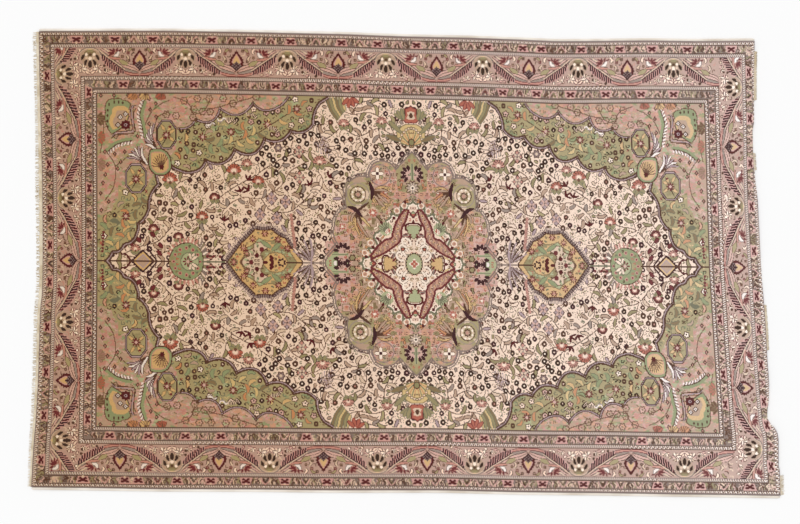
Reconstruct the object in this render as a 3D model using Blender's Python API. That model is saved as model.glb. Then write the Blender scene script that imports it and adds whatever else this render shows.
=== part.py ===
# A worn, hand-knotted Persian rug lying flat, pile side up.
# Units are metres. X runs along the rug's length, Y across it towards the far selvedge, Z up.
# The edges are given as they lie, so no side is straight and no two sides are the same length.

import random
from collections import namedtuple

import bmesh
import bpy
from mathutils import Vector

GAP = 0.0003                 # clear space between neighbouring pieces

PILE_THICKNESS = 0.008       # foundation and knots together, the pile worn low
PILE_ROUNDING = 0.002        # how far the pile rounds over at its edge
LONG_STEP = 0.050            # distance between outline points along the two long sides
END_STEP = 0.028             # the same along the worn right end

SELVEDGE_WIDTH = 0.0085      # overcast binding, across
SELVEDGE_HEIGHT = 0.0065
SELVEDGE_CHAMFER = 0.0022    # its rounded shoulders

KILIM_THICKNESS = 0.003      # plain-woven end strip, without pile
STRAND_WIDTH = 0.0036        # a bundle of warp ends where it leaves the strip
STRAND_TIP_WIDTH = 0.0024
STRAND_TIP_HEIGHT = 0.0020
STRAND_DRIFT = 0.0011        # how far a strand's tip leans along the end
STRAND_SHORTEST = 0.72       # each strand's length, as a share of its table's
STRAND_LONGEST = 1.12
LEFT_STRANDS = 200           # along the whole left end
STRANDS_PER_OUTLINE_STEP = 4 # the pile's left end has an outline point every so many strands
RIGHT_PITCH = 0.0070         # between strands in the remnants on the right end

Corner = namedtuple("Corner", "x y")
FAR_LEFT = Corner(-1.1040, 0.6954)
FAR_RIGHT = Corner(1.0452, 0.6663)
NEAR_LEFT = Corner(-1.1265, -0.6726)
NEAR_RIGHT = Corner(1.1229, -0.6984)

# Long sides: where along X, and the Y at which the pile ends there.
LongSide = namedtuple("LongSide", "at edge")
FAR_SIDE = [
    LongSide(FAR_LEFT.x, FAR_LEFT.y),
    LongSide(-0.740, 0.6960),
    LongSide(-0.560, 0.6936),
    LongSide(-0.380, 0.6900),
    LongSide(-0.200, 0.6861),
    LongSide(-0.020, 0.6795),
    LongSide(0.160, 0.6756),
    LongSide(0.340, 0.6696),
    LongSide(0.460, 0.6648),
    LongSide(0.730, 0.6666),
    LongSide(0.880, 0.6650),
    LongSide(FAR_RIGHT.x, FAR_RIGHT.y),
]
NEAR_SIDE = [
    LongSide(NEAR_LEFT.x, NEAR_LEFT.y),
    LongSide(-0.930, -0.6750),
    LongSide(-0.740, -0.6780),
    LongSide(-0.470, -0.6790),
    LongSide(-0.200, -0.6816),
    LongSide(0.070, -0.6816),
    LongSide(0.220, -0.6846),
    LongSide(0.370, -0.6879),
    LongSide(0.580, -0.6900),
    LongSide(0.760, -0.6930),
    LongSide(0.940, -0.6954),
    LongSide(NEAR_RIGHT.x, NEAR_RIGHT.y),
]

# Left end: where along Y, the X at which the pile ends, and the kilim's and fringe's reach beyond it.
LeftEnd = namedtuple("LeftEnd", "at edge kilim fringe")
LEFT_END = [
    LeftEnd(NEAR_LEFT.y, NEAR_LEFT.x, 0.0060, 0.0065),
    LeftEnd(-0.561, -1.1205, 0.0070, 0.0085),
    LeftEnd(-0.471, -1.1130, 0.0080, 0.0095),
    LeftEnd(-0.366, -1.1067, 0.0080, 0.0110),
    LeftEnd(-0.261, -1.1030, 0.0085, 0.0120),
    LeftEnd(-0.141, -1.0995, 0.0090, 0.0115),
    LeftEnd(-0.081, -1.0935, 0.0100, 0.0110),
    LeftEnd(0.039, -1.0917, 0.0110, 0.0110),
    LeftEnd(0.249, -1.0935, 0.0110, 0.0120),
    LeftEnd(0.369, -1.0965, 0.0095, 0.0100),
    LeftEnd(0.489, -1.1000, 0.0090, 0.0095),
    LeftEnd(0.609, -1.1025, 0.0085, 0.0115),
    LeftEnd(FAR_LEFT.y, FAR_LEFT.x, 0.0080, 0.0120),
]

# Right end, worn back to the pile and torn near its lower corner: where along Y, and the pile's X.
RightEnd = namedtuple("RightEnd", "at edge")
RIGHT_END = [
    RightEnd(NEAR_RIGHT.y, NEAR_RIGHT.x),
    RightEnd(-0.621, 1.1205),
    RightEnd(-0.612, 1.1172),
    RightEnd(-0.531, 1.1170),
    RightEnd(-0.510, 1.1140),
    RightEnd(-0.494, 1.1046),
    RightEnd(-0.485, 1.0940),
    RightEnd(-0.479, 1.0845),
    RightEnd(-0.465, 1.0820),
    RightEnd(-0.435, 1.0839),
    RightEnd(-0.411, 1.0880),
    RightEnd(-0.366, 1.0884),
    RightEnd(-0.291, 1.0833),
    RightEnd(-0.201, 1.0790),
    RightEnd(-0.111, 1.0725),
    RightEnd(-0.051, 1.0670),
    RightEnd(0.039, 1.0620),
    RightEnd(0.129, 1.0575),
    RightEnd(0.189, 1.0545),
    RightEnd(0.249, 1.0470),
    RightEnd(0.285, 1.0430),
    RightEnd(0.345, 1.0395),
    RightEnd(0.399, 1.0385),
    RightEnd(0.420, 1.0425),
    RightEnd(0.560, 1.0430),
    RightEnd(FAR_RIGHT.y, FAR_RIGHT.x),
]

# What is left of the right end's strip and fringe: its span along Y, its width and its strands' length.
Remnant = namedtuple("Remnant", "name low high kilim fringe")
REMNANTS = [
    Remnant("fringe_right_upper", 0.489, 0.636, 0.0065, 0.0040),
    Remnant("fringe_right_middle", 0.278, 0.331, 0.0045, 0.0060),
    Remnant("fringe_right_lower", -0.262, -0.126, 0.0055, 0.0035),
    Remnant("fringe_right_corner", -0.698, -0.639, 0.0040, 0.0100),
]

Finish = namedtuple("Finish", "name colour roughness")
PILE_WOOL = Finish("pile_wool", (0.45, 0.32, 0.24), 0.95)
SELVEDGE_WOOL = Finish("selvedge_wool", (0.62, 0.55, 0.45), 0.92)
WARP_COTTON = Finish("warp_cotton", (0.83, 0.78, 0.67), 0.90)


# The value of one column of a table at a place between its rows, eased so that it never overshoots.
def value_at(rows, place, column="edge"):
    index = 0
    while index < len(rows) - 2 and place > rows[index + 1].at:
        index += 1

    def slope(i):
        run = rows[i + 1].at - rows[i].at
        return (getattr(rows[i + 1], column) - getattr(rows[i], column)) / run

    def tangent(i):
        if i == 0:
            return slope(0)
        if i == len(rows) - 1:
            return slope(i - 1)
        before, after = slope(i - 1), slope(i)
        if before * after <= 0:
            return 0.0
        return 2 * before * after / (before + after)

    start, end = rows[index], rows[index + 1]
    span = end.at - start.at
    t = min(max((place - start.at) / span, 0.0), 1.0)
    return (
        getattr(start, column) * (1 + 2 * t) * (1 - t) ** 2
        + getattr(end, column) * (3 - 2 * t) * t ** 2
        + span * tangent(index) * t * (1 - t) ** 2
        - span * tangent(index + 1) * t ** 2 * (1 - t)
    )


# Places along a side: evenly spread, about one step apart, from the first row to the last.
def spread(low, high, count):
    return [low + (high - low) * i / count for i in range(count + 1)]


def along(rows, step):
    return spread(rows[0].at, rows[-1].at, round((rows[-1].at - rows[0].at) / step))


# The right end needs its own rows' places too, so that the tear keeps its corners.
def along_right_end():
    places = [row.at for row in RIGHT_END]
    for place in along(RIGHT_END, END_STEP):
        if min(abs(place - other) for other in places) > END_STEP / 3:
            places.append(place)
    return sorted(places)


LONG_PLACES = {"far": along(FAR_SIDE, LONG_STEP), "near": along(NEAR_SIDE, LONG_STEP)}
LEFT_PLACES = spread(NEAR_LEFT.y, FAR_LEFT.y, LEFT_STRANDS // STRANDS_PER_OUTLINE_STEP)
RIGHT_PLACES = along_right_end()


# The pile's end on the left or right, read along the straight runs between outline points.
def end_line(rows, places, y):
    index = 0
    while index < len(places) - 2 and y > places[index + 1]:
        index += 1
    low, high = places[index], places[index + 1]
    t = (y - low) / (high - low)
    return value_at(rows, low) * (1 - t) + value_at(rows, high) * t


def make_material(finish):
    material = bpy.data.materials.new(finish.name)
    material.use_nodes = True
    shader = material.node_tree.nodes["Principled BSDF"]
    shader.inputs["Base Color"].default_value = (*finish.colour, 1.0)
    shader.inputs["Roughness"].default_value = finish.roughness
    shader.inputs["Metallic"].default_value = 0.0
    return material


def finish_object(name, bm, material):
    bmesh.ops.recalc_face_normals(bm, faces=bm.faces)
    mesh = bpy.data.meshes.new(name)
    bm.to_mesh(mesh)
    bm.free()
    mesh.materials.append(material)
    rug_piece = bpy.data.objects.new(name, mesh)
    bpy.context.scene.collection.objects.link(rug_piece)
    return rug_piece


# A copy of a cap raised from it, with walls between them; an old cap inside the piece goes.
def extrude_cap(bm, cap, keep_old):
    grown = bmesh.ops.extrude_face_region(bm, geom=[cap])
    if not keep_old:
        bmesh.ops.delete(bm, geom=[cap], context="FACES_ONLY")
    return next(f for f in grown["geom"] if isinstance(f, bmesh.types.BMFace))


# The pile: its outline raised to the rounding, then drawn in to the flat top.
def make_body(material):
    outline = [(x, value_at(FAR_SIDE, x)) for x in LONG_PLACES["far"][:-1]]
    outline += [(value_at(RIGHT_END, y), y) for y in reversed(RIGHT_PLACES[1:])]
    outline += [(x, value_at(NEAR_SIDE, x)) for x in reversed(LONG_PLACES["near"][1:])]
    outline += [(value_at(LEFT_END, y), y) for y in LEFT_PLACES[:-1]]
    bm = bmesh.new()
    sole = bm.faces.new([bm.verts.new((x, y, 0.0)) for x, y in outline])
    top = extrude_cap(bm, sole, keep_old=True)
    bmesh.ops.translate(bm, vec=(0, 0, PILE_THICKNESS - PILE_ROUNDING), verts=top.verts)
    bmesh.ops.recalc_face_normals(bm, faces=bm.faces)
    bmesh.ops.inset_region(bm, faces=[top], thickness=PILE_ROUNDING, depth=PILE_ROUNDING,
                           use_even_offset=True)
    return finish_object("rug_body", bm, material)


# A binding's section, as steps away from the pile and up from the floor.
def selvedge_section():
    wide, high, chamfer = SELVEDGE_WIDTH, SELVEDGE_HEIGHT, SELVEDGE_CHAMFER
    return [
        (0, 0), (wide - chamfer, 0), (wide, chamfer), (wide, high - chamfer),
        (wide - chamfer, high), (chamfer / 2, high), (0, high - chamfer / 2),
    ]


# One binding: the section carried along a long side, a little away from the pile.
def make_selvedge(name, rows, places, outward, material):
    edges = [value_at(rows, x) + outward * GAP for x in places]
    bm = bmesh.new()
    section = [bm.verts.new((places[0], edges[0] + outward * out, up)) for out, up in selvedge_section()]
    cap = bm.faces.new(section)
    for i in range(1, len(places)):
        cap = extrude_cap(bm, cap, keep_old=i == 1)
        step = Vector((places[i] - places[i - 1], edges[i] - edges[i - 1], 0.0))
        bmesh.ops.translate(bm, vec=step, verts=cap.verts)
    return finish_object(name, bm, material)


# A kilim strip along part of an end, with a strand drawn out of its outer side in every pitch.
# line gives the pile's X at a Y, width and reach give the strip's and the strands' length there.
def make_fringe(name, span, strands, outward, line, width, reach, material):
    rng = random.Random(name)
    low, high = span
    pitch = (high - low) / strands
    margin = (pitch - STRAND_WIDTH) / 2
    places = [low]
    for i in range(strands):
        places += [low + i * pitch + margin, low + i * pitch + margin + STRAND_WIDTH]
    places.append(high)

    def inner(y):
        return line(y) + outward * GAP

    def outer(y):
        return inner(y) + outward * width(y)

    bm = bmesh.new()
    first = [(inner(low), 0), (outer(low), 0), (outer(low), KILIM_THICKNESS), (inner(low), KILIM_THICKNESS)]
    cap = bm.faces.new([bm.verts.new((x, low, z)) for x, z in first])
    roots = []
    for i in range(1, len(places)):
        cap = extrude_cap(bm, cap, keep_old=i == 1)
        before = (inner(places[i - 1]) + outer(places[i - 1])) / 2
        for vert in cap.verts:
            is_outer = (vert.co.x - before) * outward > 0
            vert.co.x = outer(places[i]) if is_outer else inner(places[i])
            vert.co.y = places[i]
        if i % 2 == 0:
            outermost = max(cap.edges, key=lambda e: sum(v.co.x for v in e.verts) * outward)
            roots.append(next(f for f in outermost.link_faces if f is not cap))
    bmesh.ops.recalc_face_normals(bm, faces=bm.faces)
    for root in roots:
        middle = root.calc_center_median().y
        drawn = bmesh.ops.extrude_discrete_faces(bm, faces=[root])["faces"][0]
        length = reach(middle) * rng.uniform(STRAND_SHORTEST, STRAND_LONGEST)
        lean = rng.uniform(-STRAND_DRIFT, STRAND_DRIFT)
        for vert in drawn.verts:
            side = 1 if vert.co.y > middle else -1
            vert.co.x += outward * length
            vert.co.y = middle + lean + side * STRAND_TIP_WIDTH / 2
            vert.co.z = STRAND_TIP_HEIGHT if vert.co.z > KILIM_THICKNESS / 2 else 0.0
    return finish_object(name, bm, material)


# The rug's own place is under the middle of its box.
def centre_over_origin(pieces):
    corners = [vert.co for piece in pieces for vert in piece.data.vertices]
    middle = [(min(c[axis] for c in corners) + max(c[axis] for c in corners)) / 2 for axis in (0, 1)]
    for piece in pieces:
        for vert in piece.data.vertices:
            vert.co.x -= middle[0]
            vert.co.y -= middle[1]


def make_rug():
    for leftover in list(bpy.data.objects):
        bpy.data.objects.remove(leftover)
    pile, binding, cotton = [make_material(f) for f in (PILE_WOOL, SELVEDGE_WOOL, WARP_COTTON)]
    pieces = [
        make_body(pile),
        make_selvedge("selvedge_far", FAR_SIDE, LONG_PLACES["far"], 1, binding),
        make_selvedge("selvedge_near", NEAR_SIDE, LONG_PLACES["near"], -1, binding),
        make_fringe(
            "fringe_left", (NEAR_LEFT.y, FAR_LEFT.y), LEFT_STRANDS, -1,
            line=lambda y: end_line(LEFT_END, LEFT_PLACES, y),
            width=lambda y: value_at(LEFT_END, y, "kilim"),
            reach=lambda y: value_at(LEFT_END, y, "fringe"),
            material=cotton,
        ),
    ]
    for row in REMNANTS:
        pieces.append(make_fringe(
            row.name, (row.low, row.high), round((row.high - row.low) / RIGHT_PITCH), 1,
            line=lambda y: end_line(RIGHT_END, RIGHT_PLACES, y),
            width=lambda y, row=row: row.kilim,
            reach=lambda y, row=row: row.fringe,
            material=cotton,
        ))
    centre_over_origin(pieces)


make_rug()
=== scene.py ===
import math
import random

import bmesh
import bpy
import numpy as np
from mathutils import Matrix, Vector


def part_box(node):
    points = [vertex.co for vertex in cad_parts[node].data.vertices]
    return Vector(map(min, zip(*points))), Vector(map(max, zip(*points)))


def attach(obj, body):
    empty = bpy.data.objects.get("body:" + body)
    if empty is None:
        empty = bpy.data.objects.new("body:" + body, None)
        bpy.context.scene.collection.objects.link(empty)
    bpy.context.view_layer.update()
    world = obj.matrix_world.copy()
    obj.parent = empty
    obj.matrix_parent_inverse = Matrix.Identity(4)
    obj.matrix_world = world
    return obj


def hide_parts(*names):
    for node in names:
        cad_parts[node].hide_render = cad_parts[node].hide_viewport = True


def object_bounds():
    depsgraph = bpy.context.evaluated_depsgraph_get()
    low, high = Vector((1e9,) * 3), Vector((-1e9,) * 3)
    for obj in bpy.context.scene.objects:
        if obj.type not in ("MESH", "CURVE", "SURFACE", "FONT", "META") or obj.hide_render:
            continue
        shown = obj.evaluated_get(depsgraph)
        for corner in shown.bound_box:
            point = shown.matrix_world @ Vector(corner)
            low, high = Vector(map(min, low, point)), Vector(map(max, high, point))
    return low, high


# A worn Persian rug from above, pile up. The pile is a fine sheet that carries the weaver's chart,
# four knots by four to a face; the shader reads the chart back, so the pattern needs no picture.

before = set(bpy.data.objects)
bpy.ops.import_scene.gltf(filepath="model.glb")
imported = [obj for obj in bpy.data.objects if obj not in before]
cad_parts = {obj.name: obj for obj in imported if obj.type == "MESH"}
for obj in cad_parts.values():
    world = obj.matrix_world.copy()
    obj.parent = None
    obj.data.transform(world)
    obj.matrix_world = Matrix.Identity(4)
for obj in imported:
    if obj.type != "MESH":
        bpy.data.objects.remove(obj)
cadLow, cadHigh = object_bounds()
bodyLow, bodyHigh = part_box("rug_body")

knot = 0.225              # cm, one knot of the chart
bare = 255                # a place where nothing is tied
sampling = 0.09           # cm between the points at which a band is tied, well under a knot
fullTurn = 6.28           # radians, near enough for scattered figures
chartColumns, chartRows = 1000, 608
halfLength, halfWidth = 112.5, 68.4       # cm, from the chart's middle to the pile's edges
fieldLength, fieldWidth = 95.4, 49.5      # cm, from the chart's middle to the field's edges
sideBorder, endBorder = 18.9, 17.1        # cm, how deep the border is along the sides and at the ends

wools = {
    "cream": "#EED5BE", "ivory": "#F6E6D3", "sand": "#D8BFA4", "white": "#EDE3DB",
    "pinkGround": "#BB9B8B", "rosePale": "#C99A90", "blush": "#CFA99B", "rose": "#C28A7A",
    "salmon": "#CB9A7C", "coral": "#B0604A", "orange": "#C4885A", "gold": "#D1AD75", "yellow": "#D2B77D",
    "sage": "#A99C70", "moss": "#8C865A", "jade": "#909A6F", "leaf": "#74735A",
    "taupe": "#86746A", "grey": "#9C8C80", "mauve": "#8B7672", "lilac": "#AD979A",
    "brown": "#6E4C36", "umber": "#573826", "dark": "#3D2619", "plum": "#412021",
    "maroon": "#561815", "wine": "#6E2A2A", "mint": "#ADB289",
    "olive": "#86714E", "khaki": "#978C63", "fawn": "#B79A82", "clay": "#A3796A",
}
woolNumber = {name: i for i, name in enumerate(wools)}
woolNumber[None] = bare
woolCount = len(wools)
darts = random.Random(11)


def newChart(x0, y0, columns, rows, wool=None):
    return {"x0": x0, "y0": y0, "dx": knot, "dy": knot,
            "ties": np.full((rows, columns), woolNumber[wool], np.uint8)}


def tie(chart, xs, ys, picks):
    # ties single knots where the points fall; picks holds a wool for each point
    columns = np.floor((xs - chart["x0"]) / chart["dx"]).astype(int)
    rows = np.floor((ys - chart["y0"]) / chart["dy"]).astype(int)
    height, width = chart["ties"].shape
    onChart = (columns >= 0) & (columns < width) & (rows >= 0) & (rows < height) & (picks != bare)
    chart["ties"][rows[onChart], columns[onChart]] = picks[onChart]


def region(chart, outline, wool):
    # fills a closed outline, and tells which knots lie in it
    outline = np.asarray(outline, float)
    height, width = chart["ties"].shape
    low, high = outline.min(0), outline.max(0)
    c0 = max(0, int((low[0] - chart["x0"]) / chart["dx"]) - 1)
    c1 = max(c0, min(width, int((high[0] - chart["x0"]) / chart["dx"]) + 2))
    r0 = max(0, int((low[1] - chart["y0"]) / chart["dy"]) - 1)
    r1 = max(r0, min(height, int((high[1] - chart["y0"]) / chart["dy"]) + 2))
    gx, gy = np.meshgrid(chart["x0"] + (np.arange(c0, c1) + 0.5) * chart["dx"],
                         chart["y0"] + (np.arange(r0, r1) + 0.5) * chart["dy"])
    ties = chart["ties"][r0:r1, c0:c1]
    inside = np.zeros(gx.shape, bool)
    for (xa, ya), (xb, yb) in zip(outline, np.roll(outline, -1, 0)):
        if ya != yb:
            crosses = (gy < ya) != (gy < yb)
            inside ^= crosses & (gx < (xb - xa) * (gy - ya) / (yb - ya) + xa)
    if wool is not None:
        ties[inside] = woolNumber[wool]
    return inside, gx, gy, ties


def spline(points):
    # an even curve through given points
    p = np.array(points, float)[:, :2]
    p = np.vstack([2 * p[:1] - p[1:2], p, 2 * p[-1:] - p[-2:-1]])
    t = np.linspace(0, 1, 10, endpoint=False)[:, None]
    out = []
    for a, b, c, d in zip(p, p[1:], p[2:], p[3:]):
        squared, cubed = 2 * a - 5 * b + 4 * c - d, 3 * b - a - 3 * c + d
        out.append(0.5 * (2 * b + (c - a) * t + squared * t ** 2 + cubed * t ** 3))
    out.append(p[-2:-1])
    return np.vstack(out)


def arcs(points):
    # a chain of arcs; each point's third value is its arc's height as a share of the chord
    out = []
    for (x0, y0, bulge), (x1, y1, _) in zip(points, points[1:]):
        t = np.linspace(0, 1, 12, endpoint=False)
        swell = 4 * bulge * t * (1 - t)
        out.append(np.column_stack([x0 + (x1 - x0) * t - (y1 - y0) * swell,
                                    y0 + (y1 - y0) * t + (x1 - x0) * swell]))
    out.append(np.array([points[-1][:2]], float))
    return np.vstack(out)


def band(chart, path, near, far, colours, step=1.0, slant=0.0):
    # ties a strip beside a path, from near to far off it, in one wool or in bars of several
    path = np.asarray(path, float)
    legs = np.hypot(*np.diff(path, axis=0).T)
    length = max(legs.sum(), 0.01)
    s = np.linspace(0, length, max(2, int(length / sampling)))
    at = np.concatenate([[0], np.cumsum(legs)])
    px, py = np.interp(s, at, path[:, 0]), np.interp(s, at, path[:, 1])
    tx, ty = np.gradient(px), np.gradient(py)
    norm = np.hypot(tx, ty) + 1e-9
    share = s / length
    low = near(share) if callable(near) else np.full(len(s), near)
    high = far(share) if callable(far) else np.full(len(s), far)
    lanes = max(2, int(np.max(np.abs(high - low)) / sampling) + 2)
    t = np.linspace(0, 1, lanes)[None, :]
    offset = low[:, None] + (high - low)[:, None] * t
    xs = px[:, None] - (ty / norm)[:, None] * offset
    ys = py[:, None] + (tx / norm)[:, None] * offset
    numbers = np.array([woolNumber[c] for c in colours], int)
    picks = numbers[np.floor((s[:, None] + slant * offset) / step).astype(int) % len(numbers)]
    wide = np.broadcast_to(np.abs(high - low)[:, None] > 0.01, xs.shape)
    tie(chart, xs[wide], ys[wide], picks[wide])


def line(chart, path, wool, width=0.05):
    # one knot wide unless it is told otherwise; the knots at its rim widen a line by 0.2
    half = max(width - 0.2, 0.02) / 2
    band(chart, path, -half, half, [wool])


def fillGaps(chart, grounds, box, reach, tries, draw):
    # puts a figure wherever a clear square of plain ground is left
    ties = chart["ties"]
    plain = np.zeros(256, bool)
    plain[[woolNumber[wool] for wool in grounds]] = True
    height, width = ties.shape
    for i in range(tries):
        x = box[0] + darts.random() * (box[2] - box[0])
        y = box[1] + darts.random() * (box[3] - box[1])
        column = int((x - chart["x0"]) / chart["dx"])
        row = int((y - chart["y0"]) / chart["dy"])
        if reach <= column < width - reach and reach <= row < height - reach:
            around = ties[row - reach:row + reach + 1, column - reach:column + reach + 1]
            if plain[around].all():
                draw(x, y)


def shape(chart, outline, wool, edge=None, width=0.25):
    if wool:
        region(chart, outline, wool)
    if edge:
        line(chart, np.vstack([outline, outline[:1]]), edge, width)


def polar(x, y, radius, turn=0.0, steps=64, squeeze=1.0):
    # an outline whose radius is a function of the angle
    angle = np.linspace(0, 2 * math.pi, steps, endpoint=False)
    r = radius(angle) if callable(radius) else np.full(steps, radius)
    return np.column_stack([x + r * np.cos(angle + turn), y + r * squeeze * np.sin(angle + turn)])


def oval(chart, x, y, rx, ry, wool, edge=None, width=0.25, turn=0.0):
    angle = np.linspace(0, 2 * math.pi, 40, endpoint=False)
    u, v = rx * np.cos(angle), ry * np.sin(angle)
    c, s = math.cos(turn), math.sin(turn)
    shape(chart, np.column_stack([x + u * c - v * s, y + u * s + v * c]), wool, edge, width)


def flower(chart, x, y, r, petals, wool, edge=None, heart=None, heartR=0.3, turn=0.0, width=0.22):
    # round petals, with a heart of its own colour where one is named
    outline = polar(x, y, lambda a: r * (1 - 0.3 * (0.5 - 0.5 * np.cos(petals * a))), turn)
    shape(chart, outline, wool, edge, width)
    if heart:
        oval(chart, x, y, r * heartR, r * heartR, heart)


def rosette(chart, x, y, r, wool="wine", heart="blush"):
    # eight short petals round a light heart
    for i in range(8):
        a = i * math.pi / 4
        oval(chart, x + 0.68 * r * math.cos(a), y + 0.68 * r * math.sin(a), 0.34 * r, 0.19 * r, wool,
             turn=a)
    oval(chart, x, y, 0.33 * r, 0.33 * r, heart)


def ovalRing(chart, x, y, rx, ry, count, size, colours):
    # small ovals round a centre, their wools in turn
    for i in range(count):
        a = i * 2 * math.pi / count
        oval(chart, x + rx * math.cos(a), y + ry * math.sin(a), size, size, colours[i % len(colours)])


def ringFlower(chart, x, y, r=0.68, wool="dark", heart="ivory"):
    oval(chart, x, y, r * 1.06, r * 1.12, wool)
    oval(chart, x, y, r * 0.3, r * 0.3, heart)


def diamond(chart, x, y, rx, ry, wool, heart):
    for share, colour in ((1.0, wool), (0.4, heart)):
        dx, dy = rx * share, ry * share
        region(chart, [(x - dx, y), (x, y + dy), (x + dx, y), (x, y - dy)], colour)


def leaf(chart, x, y, length, width, turn, wool, edge=None, bend=0.0):
    # a pointed leaf from its stalk's end outwards
    dx, dy = math.cos(turn) * length, math.sin(turn) * length
    path = arcs([(x, y, bend), (x + dx, y + dy, 0)])

    def swell(share):
        return width / 2 * np.sin(np.pi * np.clip(share, 0, 1)) ** 0.8

    if edge:
        band(chart, path, lambda s: -swell(s) - 0.22, lambda s: swell(s) + 0.22, [edge])
    band(chart, path, lambda s: -swell(s), swell, [wool])


# where the flowers of the guards, the fans and the hearts stand along each side, in cm from its middle
stops = {
    "top": {
        "outer": [-101.5, -90, -78.5, -60.5, -48.5, -36.5, -21, -10, 2, 14, 25, 36.5, 42.5, 55.5, 68, 78.5,
                  90, 104.5],
        "inner": [-87.5, -76.5, -66, -54, -41, -30.5, -19.5, -14.5, -4, 6.5, 18.5, 30, 41, 52, 63.5, 75,
                  85.5],
        "fans": [-97.5, -68.5, -37.5, -7.5, 23.5, 54.5, 85.5],
        "hearts": [-82.5, -53, -22, 8.5, 38.5, 70.5]},
    "bottom": {
        "outer": [-99, -87, -83, -71.5, -61.5, -51, -39.5, -27, -15.5, 0, 11, 28.5, 39.5, 52.5, 76, 89.5,
                  104],
        "inner": [-91.5, -80, -69, -58.5, -33, -21.5, -10, 1, 13, 21, 33.5, 45.5, 58, 71, 85],
        "fans": [-73, -44, -12, 18, 51, 84.5],
        "hearts": [-88.5, -59, -28, 3, 35, 67.5]},
    "left": {
        "outer": [-60, -46.5, -33.5, -20, -6.5, 4.5, 15, 28.5, 42, 55],
        "inner": [-47.5, -34.5, -21, -7.5, 7.5, 21.5, 36, 50],
        "fans": [-54, -18.5, 18.5, 55.5],
        "hearts": [-36, 0, 36]},
    "right": {
        "outer": [-59.5, -47, -40, -29, -18.5, -8.5, 5, 18.5, 31.5, 45, 59],
        "inner": [-41, -32, -15.5, -6.5, 4.5, 17.5, 31.5, 45],
        "fans": [-54.5, -18, 18.5, 54.5],
        "hearts": [-36, 0, 36.5]},
}
fanToHeart = 15.4         # cm, the usual way from a fan to the next heart


def sideView(chart, side):
    # the same knots seen from one side: x along the edge, y the depth in from it
    ties = chart["ties"]
    depth = knot * sideBorder / endBorder
    if side == "top":
        return {"x0": -halfLength, "y0": 0, "dx": knot, "dy": knot, "ties": ties[::-1, :]}
    if side == "bottom":
        return {"x0": -halfLength, "y0": 0, "dx": knot, "dy": knot, "ties": ties}
    if side == "left":
        return {"x0": -halfWidth, "y0": 0, "dx": knot, "dy": depth, "ties": ties.T}
    return {"x0": -halfWidth, "y0": 0, "dx": knot, "dy": depth, "ties": ties.T[::-1, :]}


def blade(chart, path, width, wool, edge=None):
    # a leaf along a curve, pointed at both ends, with its outline
    def swell(share):
        return width / 2 * np.sin(np.pi * np.clip(share, 0.03, 0.97)) ** 0.7

    if edge:
        band(chart, path, lambda s: -swell(s) - 0.2, lambda s: swell(s) + 0.2, [edge])
    band(chart, path, lambda s: -swell(s), swell, [wool])


def spray(chart, x, y, turns, near, far, width, wool, edge=None):
    # petals or strokes round one point, in degrees
    for turn in turns:
        a = math.radians(turn)
        c, s = math.cos(a), math.sin(a)
        path = np.linspace((x + near * c, y + near * s), (x + far * c, y + far * s), 6)
        blade(chart, path, width, wool, edge)


def serrated(outline, gap, depth):
    # a closed outline with small teeth
    closed = np.vstack([outline, outline[:1]])
    at = np.concatenate([[0], np.cumsum(np.hypot(*np.diff(closed, axis=0).T))])
    steps = 2 * max(3, round(at[-1] / gap / 2))
    s = np.linspace(0, at[-1], steps, endpoint=False)
    points = np.column_stack([np.interp(s, at, closed[:, 0]), np.interp(s, at, closed[:, 1])])
    middle = points.mean(0)
    points[::2] += (points[::2] - middle) / np.hypot(*(points[::2] - middle).T)[:, None] * depth
    return points


def guardFlower(view, x, y, wide):
    # red flower on its pink cartouche, whose wide side is up or down
    up, down = (2.0, 1.2) if wide < 0 else (1.2, 2.0)
    region(view, [(x - up, y - 1.15), (x + up, y - 1.15), (x + down, y + 1.15), (x - down, y + 1.15)],
           "rosePale")
    for way in (-1, 1):
        oval(view, x + way * 0.8, y - 0.42, 0.5, 0.38, "maroon")
        oval(view, x + way * 0.7, y + 0.48, 0.46, 0.34, "maroon")
    oval(view, x, y, 0.62, 0.42, "maroon")
    oval(view, x, y - wide, 0.34, 0.26, "sand")


def guardStep(view, x, y, wool):
    # arch with its chevron between two flowers, and a scroll at each side
    arch = arcs([(x - 1.35, y + 1.0, -0.1), (x, y - 1.0, -0.1), (x + 1.35, y + 1.0, 0)])
    line(view, arch, "rosePale", 0.22)
    line(view, [(x - 0.7, y + 0.7), (x, y - 0.35), (x + 0.7, y + 0.7)], wool, 0.2)
    oval(view, x, y + 0.8, 0.25, 0.2, "sand")
    for way in (-1, 1):
        line(view, arcs([(x + way * 1.6, y - 0.9, 0.35 * way), (x + way * 2.5, y + 0.6, 0)]), "sand")
        line(view, arcs([(x + way * 2.0, y - 0.9, 0.35 * way), (x + way * 2.9, y + 0.6, 0)]), "umber")


def drawGuard(view, places, y, low, high):
    places = sorted(places)
    # short hooked strokes fill the guard's ground, leaning away from each flower
    x = low + 1.0
    while x < high:
        lean = 0.5 if int((x - low) / 2.7) % 2 else -0.5
        top = y - 1.1 + 0.5 * darts.random()
        hook = arcs([(x, top, lean * 0.5), (x + lean, top + 0.9, -lean * 0.5),
                     (x + lean * 0.3, top + 1.6, 0)])
        line(view, hook, darts.choice(["umber", "brown", "umber", "sand", "blush", "fawn", "khaki"]))
        x += 0.36
    for a, b in zip(places, places[1:]):
        if b - a > 7:
            guardStep(view, (a + b) / 2, y, darts.choice(["umber", "umber", "brown", "wine", "dark"]))
        if b - a > 16:
            guardStep(view, a + (b - a) * 0.26, y, "umber")
            guardStep(view, a + (b - a) * 0.74, y, "umber")
    for x in places:
        guardFlower(view, x, y, -1 if y > 10 or abs(x) > 70 else 1)


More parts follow.
